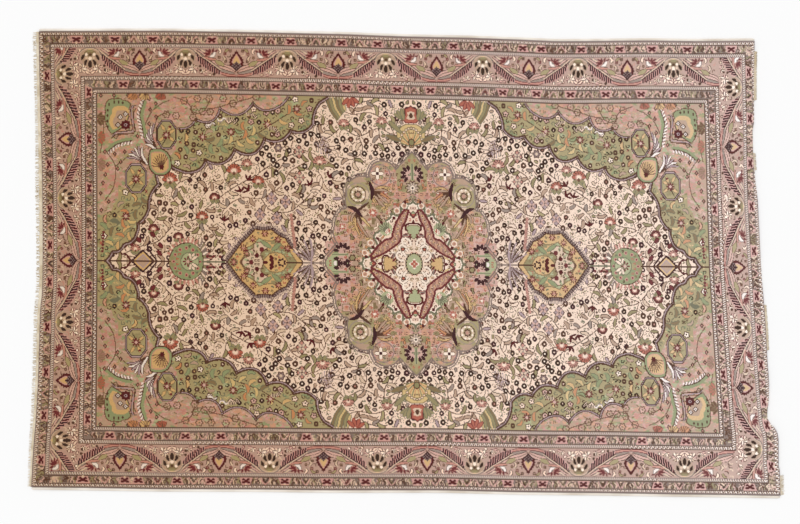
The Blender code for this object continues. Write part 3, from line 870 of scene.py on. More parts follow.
def drawPinkCorner(field):
    outline = np.vstack([arcs(pinkEdge), [(fieldLength, fieldWidth)]])
    region(field, outline, "fawn")
    mottle(field, outline, ["blush", "mint", "salmon", "sage", "rosePale", "blush", "salmon", "rose",
                            "jade", "rose"], 1700, 0.65)
    within = insideTest(field, outline)
    # thin vines with their small flowers
    vines = [[(72, 48.5), (68, 47), (66, 43.5)], [(81, 40), (79, 44), (76, 46.5), (73.5, 47.5)],
             [(80, 33), (78.5, 38), (77, 42.5), (74, 44)], [(66, 43.5), (63, 44.5), (61, 48)],
             [(63, 44.5), (55, 46.8), (48, 48.8)], [(93, 33), (90, 28), (90.5, 22), (93, 18)],
             [(90, 28), (86, 31)], [(94, 44), (93.5, 38), (94.5, 32)]]
    for path in vines:
        line(field, spline(path), "brown", 0.2)
    for x, y in ((74.4, 43.4), (71.5, 43), (66, 45), (63.4, 44.4), (61, 44.4), (64.9, 48.2), (61.3, 48.2),
                 (66.3, 42.6), (57, 48.3), (54.2, 46.9), (52, 48.6), (69, 47.5), (47, 49)):
        flower(field, x, y, 1.15, 6, None, "brown", "olive", 0.25, width=0.05)
    for x, y in ((94.3, 49), (90.3, 49), (79.6, 48), (77.6, 46.6), (79.3, 44.8), (77.5, 42.7), (79.6, 40.6),
                 (83.2, 37), (93.1, 32.3), (90.1, 31.7), (87.1, 32.3), (88.3, 29.3), (89.2, 27.3),
                 (93, 25.5), (93.7, 23.1), (92.5, 44), (80.5, 35.5), (82.3, 49), (86, 49), (92.3, 28.5),
                 (94.4, 20), (92, 17.5), (94.2, 15)):
        diamond(field, x, y, 0.65, 0.8, "umber", "rose")

    def twig(x, y):
        if within(x, y):
            curl(field, x, y, 0.5, darts.random() * fullTurn,
                 darts.choice(["brown", "olive", "clay", "leaf", "rose"]))

    def tuft(x, y):
        if within(x, y):
            line(field, [(x - 0.3, y), (x + 0.3, y + darts.choice((-0.4, 0.4)))],
                 darts.choice(["mint", "blush", "olive", "rose"]))

    grounds = ["blush", "mint", "salmon", "sage", "rosePale", "fawn", "khaki"]
    box = (36, 12, fieldLength, fieldWidth)
    fillGaps(field, grounds, box, 5, 2500, twig)
    fillGaps(field, grounds, box, 2, 5000, tuft)
    # half flowers cut by the field's edge
    for x, y, wool in ((95.2, 36.5, "coral"), (95.4, 42, "brown"), (95.2, 28.5, "clay")):
        spray(field, x, y, (125, 155, 180, 205, 235), 0.4, 2.2, 0.5, wool, "olive")
    for x, wool in ((84.5, "orange"), (81, "gold"), (76, "coral")):
        spray(field, x, 49.9, (-126, -106, -86, -66, -46), 0.3, 2.2, 0.5, wool, "brown")
    # corner tulip
    tulip = arcs([(90.9, 37.6, -0.1), (92.8, 41, -0.12), (92.8, 44, -0.12), (92.4, 47.2, -0.15),
                  (90.2, 47.9, -0.15), (87.6, 47.6, -0.15), (85.2, 46.2, 0.1), (85.7, 42.8, 0),
                  (86.8, 40.5, 0), (88.8, 38.8, 0), (90.9, 37.6, 0)])
    shape(field, tulip, "jade", "brown", 0.25)
    for x, y in ((92.2, 39.8), (92.3, 41.4), (92.3, 43), (92.2, 44.6), (91.8, 46.3), (90.2, 47), (88.9, 47),
                 (87.6, 46.8)):
        oval(field, x, y, 0.3, 0.42, "umber")
    region(field, arcs([(90.6, 38.8, -0.2), (91, 43.5, -0.3), (88.5, 45.8, -0.2), (85.6, 44.4, 0),
                        (87, 40.2, 0), (90.6, 38.8, 0)]), "gold")
    region(field, arcs([(90, 39.5, -0.2), (89.8, 43, -0.3), (88, 44.6, -0.2), (86.2, 43.6, 0),
                        (87.3, 40.6, 0), (90, 39.5, 0)]), "fawn")
    for x, y in ((88.4, 42.6), (86.8, 43.5), (89.1, 40.3)):
        flower(field, x, y, 0.72, 4, "white", "umber", "taupe", 0.3)
    region(field, [(85.6, 39.2), (88, 39.2), (88, 41.4), (85.6, 41.4)], "maroon")
    ovalRing(field, 86.8, 40.3, 1.15, 1.1, 8, 0.4, ["maroon"])
    flower(field, 86.8, 40.3, 0.6, 6, "lilac", None, "maroon", 0.4)
    for shift, wool in ((0, "umber"), (0.35, "lilac"), (0.7, "umber")):
        line(field, spline([(83.4 + shift * 0.2, 46.1), (85.1 - shift, 45.6), (85.2 - shift, 43.2),
                            (84.9 - shift, 40.8), (84.8 - shift, 38.8 - shift), (87.6, 38.4 - shift),
                            (90, 38.1 - shift), (91, 36.4)]), wool, 0.22)
    line(field, [(83.6, 45.2), (84.2, 44.2), (84.2, 37.8), (89, 37.3), (89.7, 36.2)], "brown", 0.25)
    # white-toothed combs on their green backs
    for path, side in (([(81.2, 47.4), (82.4, 43.5), (81.8, 40), (81.2, 36.4)], 1),
                       ([(92.2, 32.4), (90, 34.2), (87.5, 35.2), (85, 35.6)], 1)):
        curve = spline(path)
        band(field, curve, -0.2 * side, -0.9 * side, ["jade"])
        band(field, curve, 0.0, 0.85 * side, ["white", "white", "umber", "blush"], 0.26, slant=0.7)
        line(field, curve, "umber")
    # fans of curved feathers
    upright = [(78.1, 40.6), (79.0, 39.8), (79.8, 38.8), (80.5, 37.4), (80.9, 36.0), (80.7, 34.6)]
    lying = [(86.4, 30.4), (85.9, 31.6), (85.0, 32.6), (84.0, 33.4), (82.9, 33.8), (81.8, 33.6)]
    for root, tips in (((77.4, 32.8), upright), ((80.2, 28.6), lying)):
        for i, (x, y) in enumerate(tips):
            mx, my = (root[0] + x) / 2, (root[1] + y) / 2
            path = spline([root, (mx + (y - root[1]) * 0.16, my + (root[0] - x) * -0.16), (x, y)])
            blade(field, path, 0.42, "white" if i % 2 else "lilac", "umber")
    # octagons with a rosette, and the egg between them
    for x, y, rx, ry in ((74.4, 37.5, 3.0, 4.3), (83.7, 24.5, 3.3, 4.35)):
        ring = np.array([(x - rx, y - ry * 0.45), (x - rx * 0.45, y - ry), (x + rx * 0.45, y - ry),
                         (x + rx, y - ry * 0.45), (x + rx, y + ry * 0.45), (x + rx * 0.45, y + ry),
                         (x - rx * 0.45, y + ry), (x - rx, y + ry * 0.45)])
        shape(field, ring, "lilac", "umber", 0.2)
        inner = (ring - [x, y]) * 0.88 + [x, y]
        shape(field, inner, "sage", "dark", 0.05)
        mottle(field, (ring - [x, y]) * 0.7 + [x, y], ["mint", "khaki"], 6, 1.2)
        line(field, spline([(x + 1.2, y - 3), (x + 0.4, y - 1.5), (x, y)]), "dark", 0.22)
        for dx, dy, turn in ((-1, 2, 2), (1, 2.2, 1), (1.4, -1.6, -0.6), (-1.4, -1.4, 3.8),
                             (-1.5, 0.8, 2.6)):
            leaf(field, x + dx * 0.6, y + dy * 0.6, 1.6, 0.5, turn, "gold", edge="olive")
        rosette(field, x, y - 0.2, 1.35, "wine", "blush")
        oval(field, x - 1.1, y + 2.2, 0.4, 0.4, "wine")
    egg = arcs([(79.9, 28.6, -0.05), (79.3, 33.0, -0.05), (75.6, 33.1, -0.15), (73.1, 29.6, -0.2),
                (74.8, 25.6, -0.25), (79.9, 28.6, 0)])
    shape(field, egg, "jade", "umber", 0.3)
    fan = arcs([(78.9, 32.0, -0.05), (75.6, 32.1, -0.15), (74.0, 28.8, -0.2), (75.4, 26.4, -0.25),
                (78.9, 28.4, -0.05), (78.9, 32.0, 0)])
    shape(field, fan, "gold", "salmon", 0.3)
    for i in range(10):
        a = 0.1 + i * 0.24
        line(field, [(75.9 + 0.6 * math.cos(a), 27.8 + 0.6 * math.sin(a)),
                     (75.9 + 2.9 * math.cos(a), 27.8 + 3.9 * math.sin(a))], "brown", 0.2)
    flower(field, 75.9, 27.8, 0.85, 6, "maroon")


def drawFieldQuarter():
    field = newChart(0, 0, round(fieldLength / knot), round(fieldWidth / knot), "cream")
    drawFieldGround(field)
    drawFieldFigures(field)
    fillField(field)
    drawFinial(field)
    drawPalmetteAndLozenge(field)
    drawPendant(field)
    drawMedallion(field)
    detailAxis(field)
    drawGreenBand(field)
    drawPinkCorner(field)
    return field


# the medallion, the pendant and the figures on the two axes, in the same quarter
medallionEdge = [(27.2, -0.6, 0), (26.2, 1.8, 0), (22.8, 5.6, -0.15), (23.9, 11, -0.1), (21.6, 16.1, 0.1),
                 (20.2, 16.6, -0.05), (20.3, 20.2, -0.15), (17.6, 25.5, -0.12), (13.2, 25.8, -0.15),
                 (13, 27.6, -0.2), (8.7, 30.8, -0.15), (5.0, 28.3, 0), (0, 33.8, 0), (-0.6, 33.2, 0)]
innerEdge = [(0, 19.6, -0.25), (1.6, 18.0, -0.55), (3.9, 17.2, -0.6), (6.6, 15.2, -0.2), (8.3, 13.0, -0.35),
             (10.3, 11.2, -0.3), (11.3, 9.2, 0.1), (12.0, 7.7, -0.6), (14.0, 4.7, -0.55), (15.5, 1.7, -0.3),
             (16.8, 0, 0)]


def anchorStem(field, bladeEnds, spikes, root, plumes):
    # dark brown blade with spikes, and orange and gold plumes that hang from it
    for i, (x, y) in enumerate(plumes):
        dx, dy = x - root[0], y - root[1]
        path = spline([root, (root[0] + dx * 0.5 - dy * 0.14, root[1] + dy * 0.5 + abs(dx) * 0.14), (x, y)])
        blade(field, path, 0.3, ("gold", "fawn", "orange", "fawn", "yellow")[i % 5], "brown")
        spray(field, x, y, (200, 250, 300, 340), 0.1, 0.9, 0.2, ("gold", "khaki", "salmon")[i % 3], "olive")
    for x, y in spikes:
        blade(field, spline([root, ((root[0] + x) / 2, (root[1] + y) / 2), (x, y)]), 0.6, "umber")
    blade(field, spline(bladeEnds), 1.0, "plum")


def wingFlower(field, x, y, turn):
    # two fans of dark wedges with light gaps, seen from its stem
    c, s = math.cos(turn), math.sin(turn)
    for side in (-1, 1):
        cx, cy = x - s * side * 1.0, y + c * side * 1.0
        angles = [math.degrees(turn) + side * (6 + i * 36) for i in range(5)]
        oval(field, cx - s * side * 0.6, cy + c * side * 0.6, 1.7, 1.7, "blush")
        spray(field, cx, cy, angles, 1.1, 2.6, 0.8, "plum")
    line(field, [(x - 1.6 * c, y - 1.6 * s), (x + 3.0 * c, y + 3.0 * s)], "mint", 0.7)
    line(field, [(x - 1.6 * c, y - 1.6 * s), (x + 3.0 * c, y + 3.0 * s)], "leaf")


def squareFlower(field, x, y, wool):
    # four small dark dots
    for dx, dy in ((0.28, 0.28), (-0.28, 0.28), (0.28, -0.28), (-0.28, -0.28)):
        oval(field, x + dx, y + dy, 0.17, 0.17, wool)


def drawMedallion(field):
    edge = arcs(medallionEdge)
    outline = np.vstack([edge, [(-0.6, -0.6)]])
    region(field, outline, "fawn")
    mottle(field, outline, ["fawn", "salmon", "rosePale", "blush", "sage", "salmon", "sand", "blush",
                            "salmon", "sage"], 420, 0.8)
    for x, y, size in ((4, 24, 4.5), (8.5, 22.5, 3.5), (23.5, 4.5, 3.5), (20.5, 8.5, 3.5)):
        mottle(field, polar(x, y, size), ["salmon", "blush", "salmon", "rose"], 40, 1.0)
    for places, patches in (([(13, 26), (20.5, 24), (20.5, 17), (13, 16), (11, 20)],
                             ["sage", "khaki", "fawn", "sand", "sage"]),
                            ([(0, 33.5), (5, 28.5), (4.5, 22), (0, 21)], ["sage", "fawn", "khaki"]),
                            ([(27, 0), (22.5, 5.5), (20, 3), (20, 0)], ["mint", "jade"]),
                            ([(23.8, 8), (23.6, 13), (21, 15.5), (20, 9)], ["sage", "blush"])):
        region(field, places, patches[0])
        mottle(field, places, patches, 16, 1.4)
    # two thin lines round it
    band(field, edge, -0.75, -0.62, ["taupe"])
    band(field, edge, -0.1, 0.1, ["taupe"])
    # lobes' flowers
    line(field, polar(9.8, 26.6, 3.1), "mauve")
    line(field, polar(16.6, 20.6, 3.4), "grey")
    ovalRing(field, 16.6, 20.6, 1.75, 1.85, 16, 0.34, ["sand", "ivory"])
    line(field, polar(16.6, 20.6, 2.35), "umber")
    flower(field, 16.6, 20.6, 1.1, 8, "fawn", "umber", "rose", 0.35, width=0.05)
    spray(field, 10.6, 27.0, (0, 90, 180, 270), 0.3, 1.7, 0.7, "ivory", "brown")
    oval(field, 10.6, 27.0, 0.4, 0.4, "plum")
    for x, y in ((8.4, 28.9), (8.2, 25.4), (12.4, 24.6), (6, 26.7), (21, 5.6), (20.6, 8.4), (18.5, 9.6),
                 (19.2, 3.6), (17.6, 6.4), (5.5, 24.6), (3, 20.9), (4.6, 20.9), (3.2, 26), (16.6, 2.5),
                 (17.5, 1.2), (19, 11.6), (22.6, 10.2), (17.2, 4.4)):
        squareFlower(field, x, y, "umber" if y > 15 else "maroon")
    flower(field, 20.7, 13.4, 1.5, 4, "blush", "olive", "salmon", 0.5, turn=0.785, width=0.05)
    for x, y, r in ((12.2, 15.2, 1.3), (8.2, 21.4, 0.9), (21.5, 10.9, 1.0)):
        rosette(field, x, y, r, "coral", "ivory")
    # branches with plumes
    anchorStem(field, [(13.2, 24.6), (12.3, 22.0), (12.5, 19.0)], [(9.8, 21.1), (10.6, 20.2)], (12.2, 21.5),
               [(7.6, 22.9), (6.6, 21.2), (6.8, 19.2), (8.6, 16.9), (10.4, 17.2), (11.6, 18.2),
                (7.6, 18.0)])
    anchorStem(field, [(19.8, 16.8), (17.6, 16.2), (15.4, 13.8)],
               [(13.4, 18.2), (15.6, 11.8), (17.2, 13.2)], (17.0, 15.6),
               [(17.8, 10.6), (16.4, 10.2), (14.9, 8.4), (13.6, 7.6), (12.9, 10.8), (16.2, 8.2),
                (18.8, 12.2)])
    # wing flowers at the tips, with their grey rosettes
    wingFlower(field, 0.0, 27.0, math.pi / 2)
    wingFlower(field, 21.6, 2.6, 0.0)
    flower(field, 0, 22.9, 2.2, 10, "grey", "umber", "ivory", 0.3, width=0.05)
    oval(field, 0, 22.9, 0.35, 0.35, "dark")
    for i in range(10):
        a = i * math.pi / 5
        line(field, [(0.8 * math.cos(a), 22.9 + 0.8 * math.sin(a)),
                     (1.9 * math.cos(a), 22.9 + 1.9 * math.sin(a))], "sand")
    oval(field, 23.8, 0.2, 0.6, 0.6, "white", "jade", 0.05)
    flower(field, 18.6, 1.6, 1.0, 6, "khaki", "umber", width=0.05)

    # buds and hooks over the rest of its ground
    grounds = ["salmon", "blush", "rosePale", "khaki", "fawn", "clay", "sage", "mint", "sand"]

    def within(x, y):
        return abs(x) + 0.9 * abs(y) < 36 and y < 33 and x < 26.5

    def bud(x, y):
        if within(x, y):
            turn = darts.random() * 360
            spray(field, x, y, (turn, turn + 50, turn + 180), 0.1, 0.95, 0.24,
                  darts.choice(["cream", "olive", "orange", "coral", "khaki"]),
                  darts.choice(["umber", "brown", "olive"]))

    def hook(x, y):
        if within(x, y):
            curl(field, x, y, 0.45, darts.random() * fullTurn,
                 darts.choice(["umber", "brown", "olive", "leaf", "coral"]))

    fillGaps(field, grounds, (0, 0, 27, 33), 4, 5000, bud)
    fillGaps(field, grounds, (0, 0, 27, 33), 2, 9000, hook)
    # inner cream medallion
    ring = arcs(innerEdge)
    inner = np.vstack([ring, [(-0.6, 19.6), (-0.6, -0.6), (15.5, -0.6)]])
    region(field, inner, "cream")
    band(field, ring, -0.5, -0.2, ["ivory"])
    band(field, ring, -0.16, 0.16, ["leaf"])
    # jade fan with dark ribs between each two lobes
    oval(field, 8.4, 10.4, 2.0, 2.0, "mint")
    for i in range(7):
        a = 0.1 + i * 0.25
        line(field, [(7.6, 9.6), (7.6 + 2.9 * math.cos(a), 9.6 + 2.9 * math.sin(a))], "leaf", 0.3)
    spray(field, 7.2, 9.2, (15, 35, 55, 75), 0.3, 1.3, 0.45, "coral", "ivory")
    for x, y in ((4.9, 15.9), (13.1, 6.2), (14.9, 3.2), (2.6, 17.5)):
        oval(field, x, y, 0.8, 0.8, "salmon", "ivory", 0.2)
        oval(field, x, y, 0.3, 0.3, "clay")
    for x, y in ((5.8, 13.7), (10.9, 7.5), (14.4, 2.0), (2.4, 18.6), (9.6, 12.3), (12.3, 4.9)):
        leaf(field, x - 0.3, y - 0.4, 1.0, 0.7, 0.9, "maroon")
    # salmon ribbon with dark outlines: an angled band to each quarter
    farSide = spline([(2.5, 16.3), (3.8, 14.7), (5.3, 12.2), (6.3, 9.2), (6.8, 7.7), (8.8, 7.0),
                      (11.3, 4.7), (13.2, 2.2)])
    nearSide = spline([(1.4, 16.3), (2.2, 13.2), (3.5, 10.7), (3.8, 8.0), (4.5, 6.4), (6.3, 5.0),
                       (9.3, 3.0), (12.9, 1.4)])
    lobes = np.vstack([(0, 14.4), (1.6, 15.4), nearSide, (11.6, 0.8), (10.9, -0.6), (-0.6, -0.6)])
    region(field, lobes, "cream")
    mottle(field, lobes, ["cream", "ivory", "yellow", "sand", "cream"], 60, 0.8)
    region(field, np.vstack([farSide, nearSide[::-1]]), "salmon")
    middle = (farSide[::2][:36] + nearSide[::2][:36]) / 2
    band(field, middle, -0.9, 0.9, ["clay", "salmon", "clay"], 0.7, slant=1.2)
    band(field, middle, -0.1, 0.1, ["fawn", "gold", "brown", "sand", "clay"], 0.3)
    band(field, farSide, -0.2, 0.2, ["wine"])
    band(field, nearSide, -0.2, 0.2, ["wine"])
    line(field, [(1.4, 16.3), (2.5, 16.3)], "wine", 0.42)
    line(field, [(12.9, 1.4), (13.2, 2.2)], "wine", 0.42)
    # each lobe: a flower in its open tip, a dark crown over a tulip, plumes and white scrolls
    for along, wool in ((0, "gold"), (1, "mint")):
        def at(u, v):
            return (u, v) if along == 0 else (v, u + 2.4)

        flower(field, *at(12.4, 0), 1.0, 4, "mint", "leaf", "coral", 0.4, width=0.05)
        line(field, spline([at(13.2, 1.1), at(11.6, 0), at(13.2, -1.1)]), "wine", 0.42)
        cup = spline([at(4.6, -0.4), at(6.2, 1.1), at(7.9, 2.2), at(9.0, 1.6), at(9.3, -0.4)])
        shape(field, cup, wool, "olive", 0.2)
        line(field, spline([at(10.8, 0.0), at(9.8, 0.3), at(9.7, 1.3), at(9.2, 2.3), at(8.2, 2.5),
                            at(7.6, 1.9)]), "maroon", 0.5)
        region(field, [at(9.6, -0.5), at(9.6, 0.5), at(11.2, 0)], "maroon")
        for u, v, turn, colour in ((7.4, 2.8, 1.9, "wine"), (6.9, 2.9, 1.8, "taupe"),
                                   (6.3, 2.9, 1.7, "rose"), (5.7, 2.7, 1.6, "khaki"),
                                   (7.2, 2.0, 2.4, "wine"), (6.2, 1.9, 2.2, "umber"),
                                   (5.2, 1.5, 2.0, "maroon")):
            if along:
                turn = math.pi / 2 - turn
            leaf(field, *at(u - 0.6, v - 1.3), 1.7, 0.34, turn, colour)
        for curve in ([(3.2, 0.9), (4.6, 1.3), (5.3, 2.6), (4.6, 3.5), (3.6, 3.1), (3.9, 2.4)],
                      [(2.6, 2.4), (3.3, 3.6), (2.6, 4.4), (1.9, 3.9)]):
            path = spline([at(u, v) for u, v in curve])
            band(field, path, -0.34, 0.34, ["umber"])
            band(field, path, -0.2, 0.2, ["ivory"])
    oval(field, 3.4, 4.4, 0.5, 0.5, "coral", "umber", 0.05)

    # petals and scrolls over the cream
    def scroll(x, y):
        curl(field, x, y, 0.5, darts.random() * fullTurn,
             darts.choice(["umber", "olive", "leaf", "clay", "coral", "brown"]))

    def petal(x, y):
        turn = darts.random() * 360
        spray(field, x, y, (turn, turn + 60), 0.1, 1.0, 0.26,
              darts.choice(["mint", "salmon", "gold", "ivory"]), "brown")

    creams = ["cream", "ivory", "yellow", "sand"]
    fillGaps(field, creams, (0, 0, 16, 20), 4, 5000, petal)
    fillGaps(field, creams, (0, 0, 16, 20), 2, 7000, scroll)
    # green heart of the medallion
    oval(field, 0, 0, 2.75, 3.35, "dark")
    oval(field, 0, 0, 2.3, 2.9, "mint")
    ovalRing(field, 0, 0, 2.4, 3.0, 20, 0.2, ["sage"])
    for length, width, wool in ((1.45, 1.0, "ivory"), (1.2, 0.6, "coral")):
        for turn in (0, 1.571, 3.142, 4.712):
            leaf(field, 0, 0, length, width, turn, wool)
    oval(field, 0, 0, 0.25, 0.25, "sand")


pendantEdge = [(33.4, 0, 0), (36.7, 4.2, -0.04), (38.7, 7.2, -0.06), (42.9, 9.8, -0.05), (47.9, 9.8, -0.03),
               (51.8, 5.9, 0), (56.3, 0, 0)]


def drawPendant(field):
    edge = arcs(pendantEdge)
    closed = np.vstack([edge, edge[::-1] * [1, -1]])
    comb = arcs(pendantEdge[1:])
    for way in (1, -1):
        side = comb * [1, way]
        band(field, side, 0.2 * way, 1.2 * way, ["mauve", "plum", "taupe"], 0.25)
        band(field, side, 1.2 * way, 1.7 * way, ["mauve", "cream"], 0.25)
    shape(field, closed, "gold", "umber", 0.3)
    mottle(field, closed, ["gold", "yellow", "orange", "khaki", "gold"], 26, 1.4)
    line(field, closed, "umber", 0.3)
    # green inside
    inner = arcs([(35.2, 0, 0), (37.8, 3.6, -0.05), (41.2, 6.8, -0.1), (46.8, 7.2, -0.08),
                  (50.2, 4.4, -0.05), (52.6, 0, 0)])
    hull = np.vstack([inner, inner[::-1] * [1, -1]])
    region(field, hull, "khaki")
    mottle(field, hull, ["jade", "khaki", "sage", "mint", "gold"], 22, 1.3)
    line(field, hull, "olive", 0.22)
    for x, y in ((54.4, 0.1), (51.4, 4.2), (48.6, 6.9), (44.9, 8.5), (41, 6.8), (38.1, 4.2), (50.4, 2.6)):
        rosette(field, x, y, 1.15, "wine", "rose")
    # pale tulip with its buds
    tulip = spline([(45, -0.5), (46.2, 2.6), (44.2, 4.4), (45.6, 5.9), (48, 5.6), (48.4, 4.2), (50, 3.4),
                    (49.6, 2.0), (51.4, 1.2), (52.2, -0.5)])
    shape(field, np.vstack([tulip, tulip[::-1] * [1, -1]]), "sand", "brown", 0.24)
    for x, y, wool in ((49.1, 0, "wine"), (47.4, 2.0, "maroon"), (45.9, 3.8, "wine")):
        oval(field, x, y, 0.7, 0.7, wool)
        line(field, [(x - 0.6, y), (x - 1.8, y - 0.2)], "umber", 0.2)
    for x, y, turn in ((50.5, 0.6, 0.2), (49, 2.6, 0.6), (47.4, 4.6, 1.0)):
        leaf(field, x - 0.6, y, 1.5, 0.4, turn, "mint")
    leaf(field, 43.2, 4.4, 3.4, 0.8, 0.6, "jade", edge="leaf")
    leaf(field, 40.4, 5.6, 3.2, 0.8, -0.7, "jade", edge="leaf")
    heart = spline([(37.6, -0.4), (39.8, 2.6), (43.2, 2.7), (45.3, 0.9), (45.6, -0.4)])
    shape(field, np.vstack([heart, heart[::-1] * [1, -1]]), "gold", "olive", 0.22)
    for i in range(7):
        a = i * 2 * math.pi / 7
        oval(field, 39.9 + 0.95 * math.cos(a), 0.95 * math.sin(a), 0.42, 0.36, "plum")
    oval(field, 39.9, 0, 0.35, 0.35, "gold")
    for x, y, turn in ((43.0, 0.9, 0.9), (44.6, 0, 0), (42.9, 0.2, 0.6)):
        leaf(field, x - 0.5, y, 1.5, 0.8, turn, "maroon")
    line(field, [(33.6, 0), (38.6, 0)], "umber", 0.25)
    # salmon bead row and grey feather fans beside its tip
    for i in range(9):
        spray(field, 36.3 + 0.12 * i, 4.8 + i * 1.15, (150, 210), 0.1, 0.8, 0.25, "rose", "clay")
    for i in range(13):
        turn = 0.35 + i * 0.13
        reach = 4.2 + 1.6 * (i % 2) + 0.12 * i
        line(field, spline([(31.0, 0.4), (31.0 + 0.5 * reach * math.cos(turn),
                                          0.4 + 0.55 * reach * math.sin(turn)),
                            (31.2 + reach * math.cos(turn), 0.6 + reach * math.sin(turn))]),
             ("taupe", "lilac", "umber")[i % 3], 0.3)
    line(field, [(33.4, 0), (27, 0)], "taupe", 0.4)
    line(field, spline([(31, 0.2), (30.6, 3.4), (31.2, 7.0)]), "lilac", 0.4)


def drawPalmetteAndLozenge(field):
    # green palmette with rays
    for i in range(15):
        a = 0.35 + i * 0.2
        x, y = 68.0 + 5.3 * math.cos(a), 5.4 * math.sin(a)
        leaf(field, x, y, 1.7, 0.42, a + 0.15, "rose")
    for i in range(9):
        leaf(field, 65.5 - i * 0.1, 0.3 + i * 0.6, 3.8 - 0.22 * i, 0.42, math.pi - 0.1 - i * 0.16,
             ["cream", "khaki", "ivory", "taupe"][i % 4], edge="taupe")
    body = polar(68.4, 0, lambda a: 5.4 - 0.5 * np.exp(-((a - math.pi) / 0.8) ** 2), 0, 60, 1.02)
    shape(field, body, "jade", "umber", 0.25)
    mottle(field, body, ["sage", "jade", "khaki", "jade"], 14, 1.3)
    for i in range(13):
        a = i * math.pi / 6
        oval(field, 68.6 + 3.9 * math.cos(a), 4.0 * math.sin(a), 0.42, 0.42, "wine", "rose", 0.15)
    shape(field, polar(67.6, 0, 2.7, 0, 40, 1.0), "mint", "leaf", 0.22)
    rosette(field, 68.2, 0, 1.5, "wine", "blush")
    for turn in (1.2, 1.9, 2.6):
        leaf(field, 67.0, 0.6, 1.9, 0.6, turn, "cream", edge="leaf")
    line(field, [(57, 0), (64, 0)], "leaf", 0.3)
    for x in (58.5, 60.5, 62.3):
        oval(field, x, 1.6, 0.45, 0.45, "wine")
        oval(field, x - 0.8, 3.2, 0.4, 0.5, "umber")
    # gold lozenge with purple edges and its bracket
    shape(field, np.array([(78.6, 0), (81.7, 3.2), (85.2, 0), (81.7, -3.2)]), "gold", "plum", 0.45)
    shape(field, np.array([(79.8, 0), (81.7, 1.9), (83.8, 0), (81.7, -1.9)]), "fawn", "lilac", 0.25)
    line(field, spline([(77.4, 0), (79.4, 2.6), (80.4, 4.4), (79.4, 5.8)]), "plum", 0.45)
    line(field, spline([(85.6, 0), (86.6, 1.8), (88.4, 2.2)]), "maroon", 0.4)
    for x, y in ((76.2, 1.8), (75.8, 4.0), (78.2, 7.2), (82.4, 5.6), (84.8, 4.6), (86.8, 4.2)):
        leaf(field, x, y, 1.7, 0.7, 0.9, "wine", edge="maroon")
    line(field, [(73.5, 0), (93.4, 0)], "umber", 0.2)


def drawFinial(field):
    # fan palmette and coral bud between the medallion and the top of the field
    shape(field, arcs([(-0.5, 34.4, 0.1), (2.4, 36, -0.15), (4.4, 38.6, -0.15), (3.2, 41, -0.15),
                       (-0.5, 41.8, 0)]), "yellow", "olive", 0.22)
    for i in range(7):
        a = 0.15 + i * 0.24
        line(field, [(0, 35.4), (4.0 * math.cos(a), 35.4 + 5.6 * math.sin(a))],
             ["leaf", "orange"][i % 2], 0.22)
        oval(field, 3.6 * math.cos(a), 35.6 + 5.2 * math.sin(a), 0.4, 0.4, "cream", "olive", 0.15)
    oval(field, 0, 36.6, 0.9, 1.0, "moss", "umber", 0.2)
    bud = arcs([(-0.5, 48, -0.1), (1.9, 46.6, -0.2), (2.9, 43.4, -0.1), (1.7, 42.4, 0.1), (-0.5, 42.8, 0)])
    shape(field, bud, "coral", "wine", 0.25)
    region(field, arcs([(-0.5, 46.4, -0.1), (1.2, 45.6, -0.2), (1.6, 43.6, 0), (-0.5, 43.4, 0)]), "sand")
    oval(field, 0, 44.6, 0.6, 0.8, "umber")
    for turn in (0.5, 0.9, 1.3):
        leaf(field, 2.2, 43.5, 3.2, 0.7, turn, "khaki", edge="leaf")
    leaf(field, 3.4, 37, 4.4, 0.9, 0.35, "olive", edge="leaf")
    leaf(field, 3.2, 39.5, 4.8, 0.9, 0.75, "khaki", edge="leaf")


def detailAxis(field):
    # twigs and buds over the pendants' and palmettes' plain parts
    grounds = ["gold", "yellow", "orange", "khaki", "jade", "sage", "mint", "sand"]

    def hook(x, y):
        curl(field, x, y, 0.4, darts.random() * fullTurn,
             darts.choice(["umber", "olive", "leaf", "coral", "leaf"]))

    fillGaps(field, grounds, (33, 0, 90, 11), 2, 3000, hook)
    fillGaps(field, grounds, (0, 34, 8, 48), 2, 900, hook)


def buildChart():
    chart = newChart(-halfLength, -halfWidth, chartColumns, chartRows, "pinkGround")
    drawBorders(chart)
    # the field's quarter, turned over into the other three
    quarter = drawFieldQuarter()["ties"]
    height, width = quarter.shape
    column, row = chartColumns // 2, chartRows // 2
    chart["ties"][row:row + height, column:column + width] = quarter
    chart["ties"][row:row + height, column - width:column] = quarter[:, ::-1]
    chart["ties"][row - height:row, column:column + width] = quarter[::-1]
    chart["ties"][row - height:row, column - width:column] = quarter[::-1, ::-1]
    return chart


def linearColour(hexColour):
    # an sRGB hex colour as the linear values that a socket takes
    values = []
    for i in (1, 3, 5):
        share = int(hexColour[i:i + 2], 16) / 255
        values.append(share / 12.92 if share <= 0.04045 else ((share + 0.055) / 1.055) ** 2.4)
    return (*values, 1.0)


def addNode(tree, kind, inputs=None, **settings):
    # one node with its settings, its plain values and its incoming links
    node = tree.nodes.new(kind)
    for name, value in settings.items():
        setattr(node, name, value)
    for name, value in (inputs or {}).items():
        if isinstance(value, bpy.types.NodeSocket):
            tree.links.new(value, node.inputs[name])
        else:
            node.inputs[name].default_value = value
    return node


def newMaterial(name):
    material = bpy.data.materials.new(name)
    material.use_nodes = True
    material.node_tree.nodes.clear()
    return material, material.node_tree


def maths(tree, operation, first, second=0.0, third=None):
    # the result of one sum
    inputs = {0: first, 1: second}
    if third is not None:
        inputs[2] = third
    return addNode(tree, "ShaderNodeMath", inputs, operation=operation).outputs[0]


def multiplied(tree, colour, factor):
    return addNode(tree, "ShaderNodeMix", {0: 1.0, 6: colour, 7: factor}, data_type="RGBA",
                   blend_type="MULTIPLY").outputs[2]


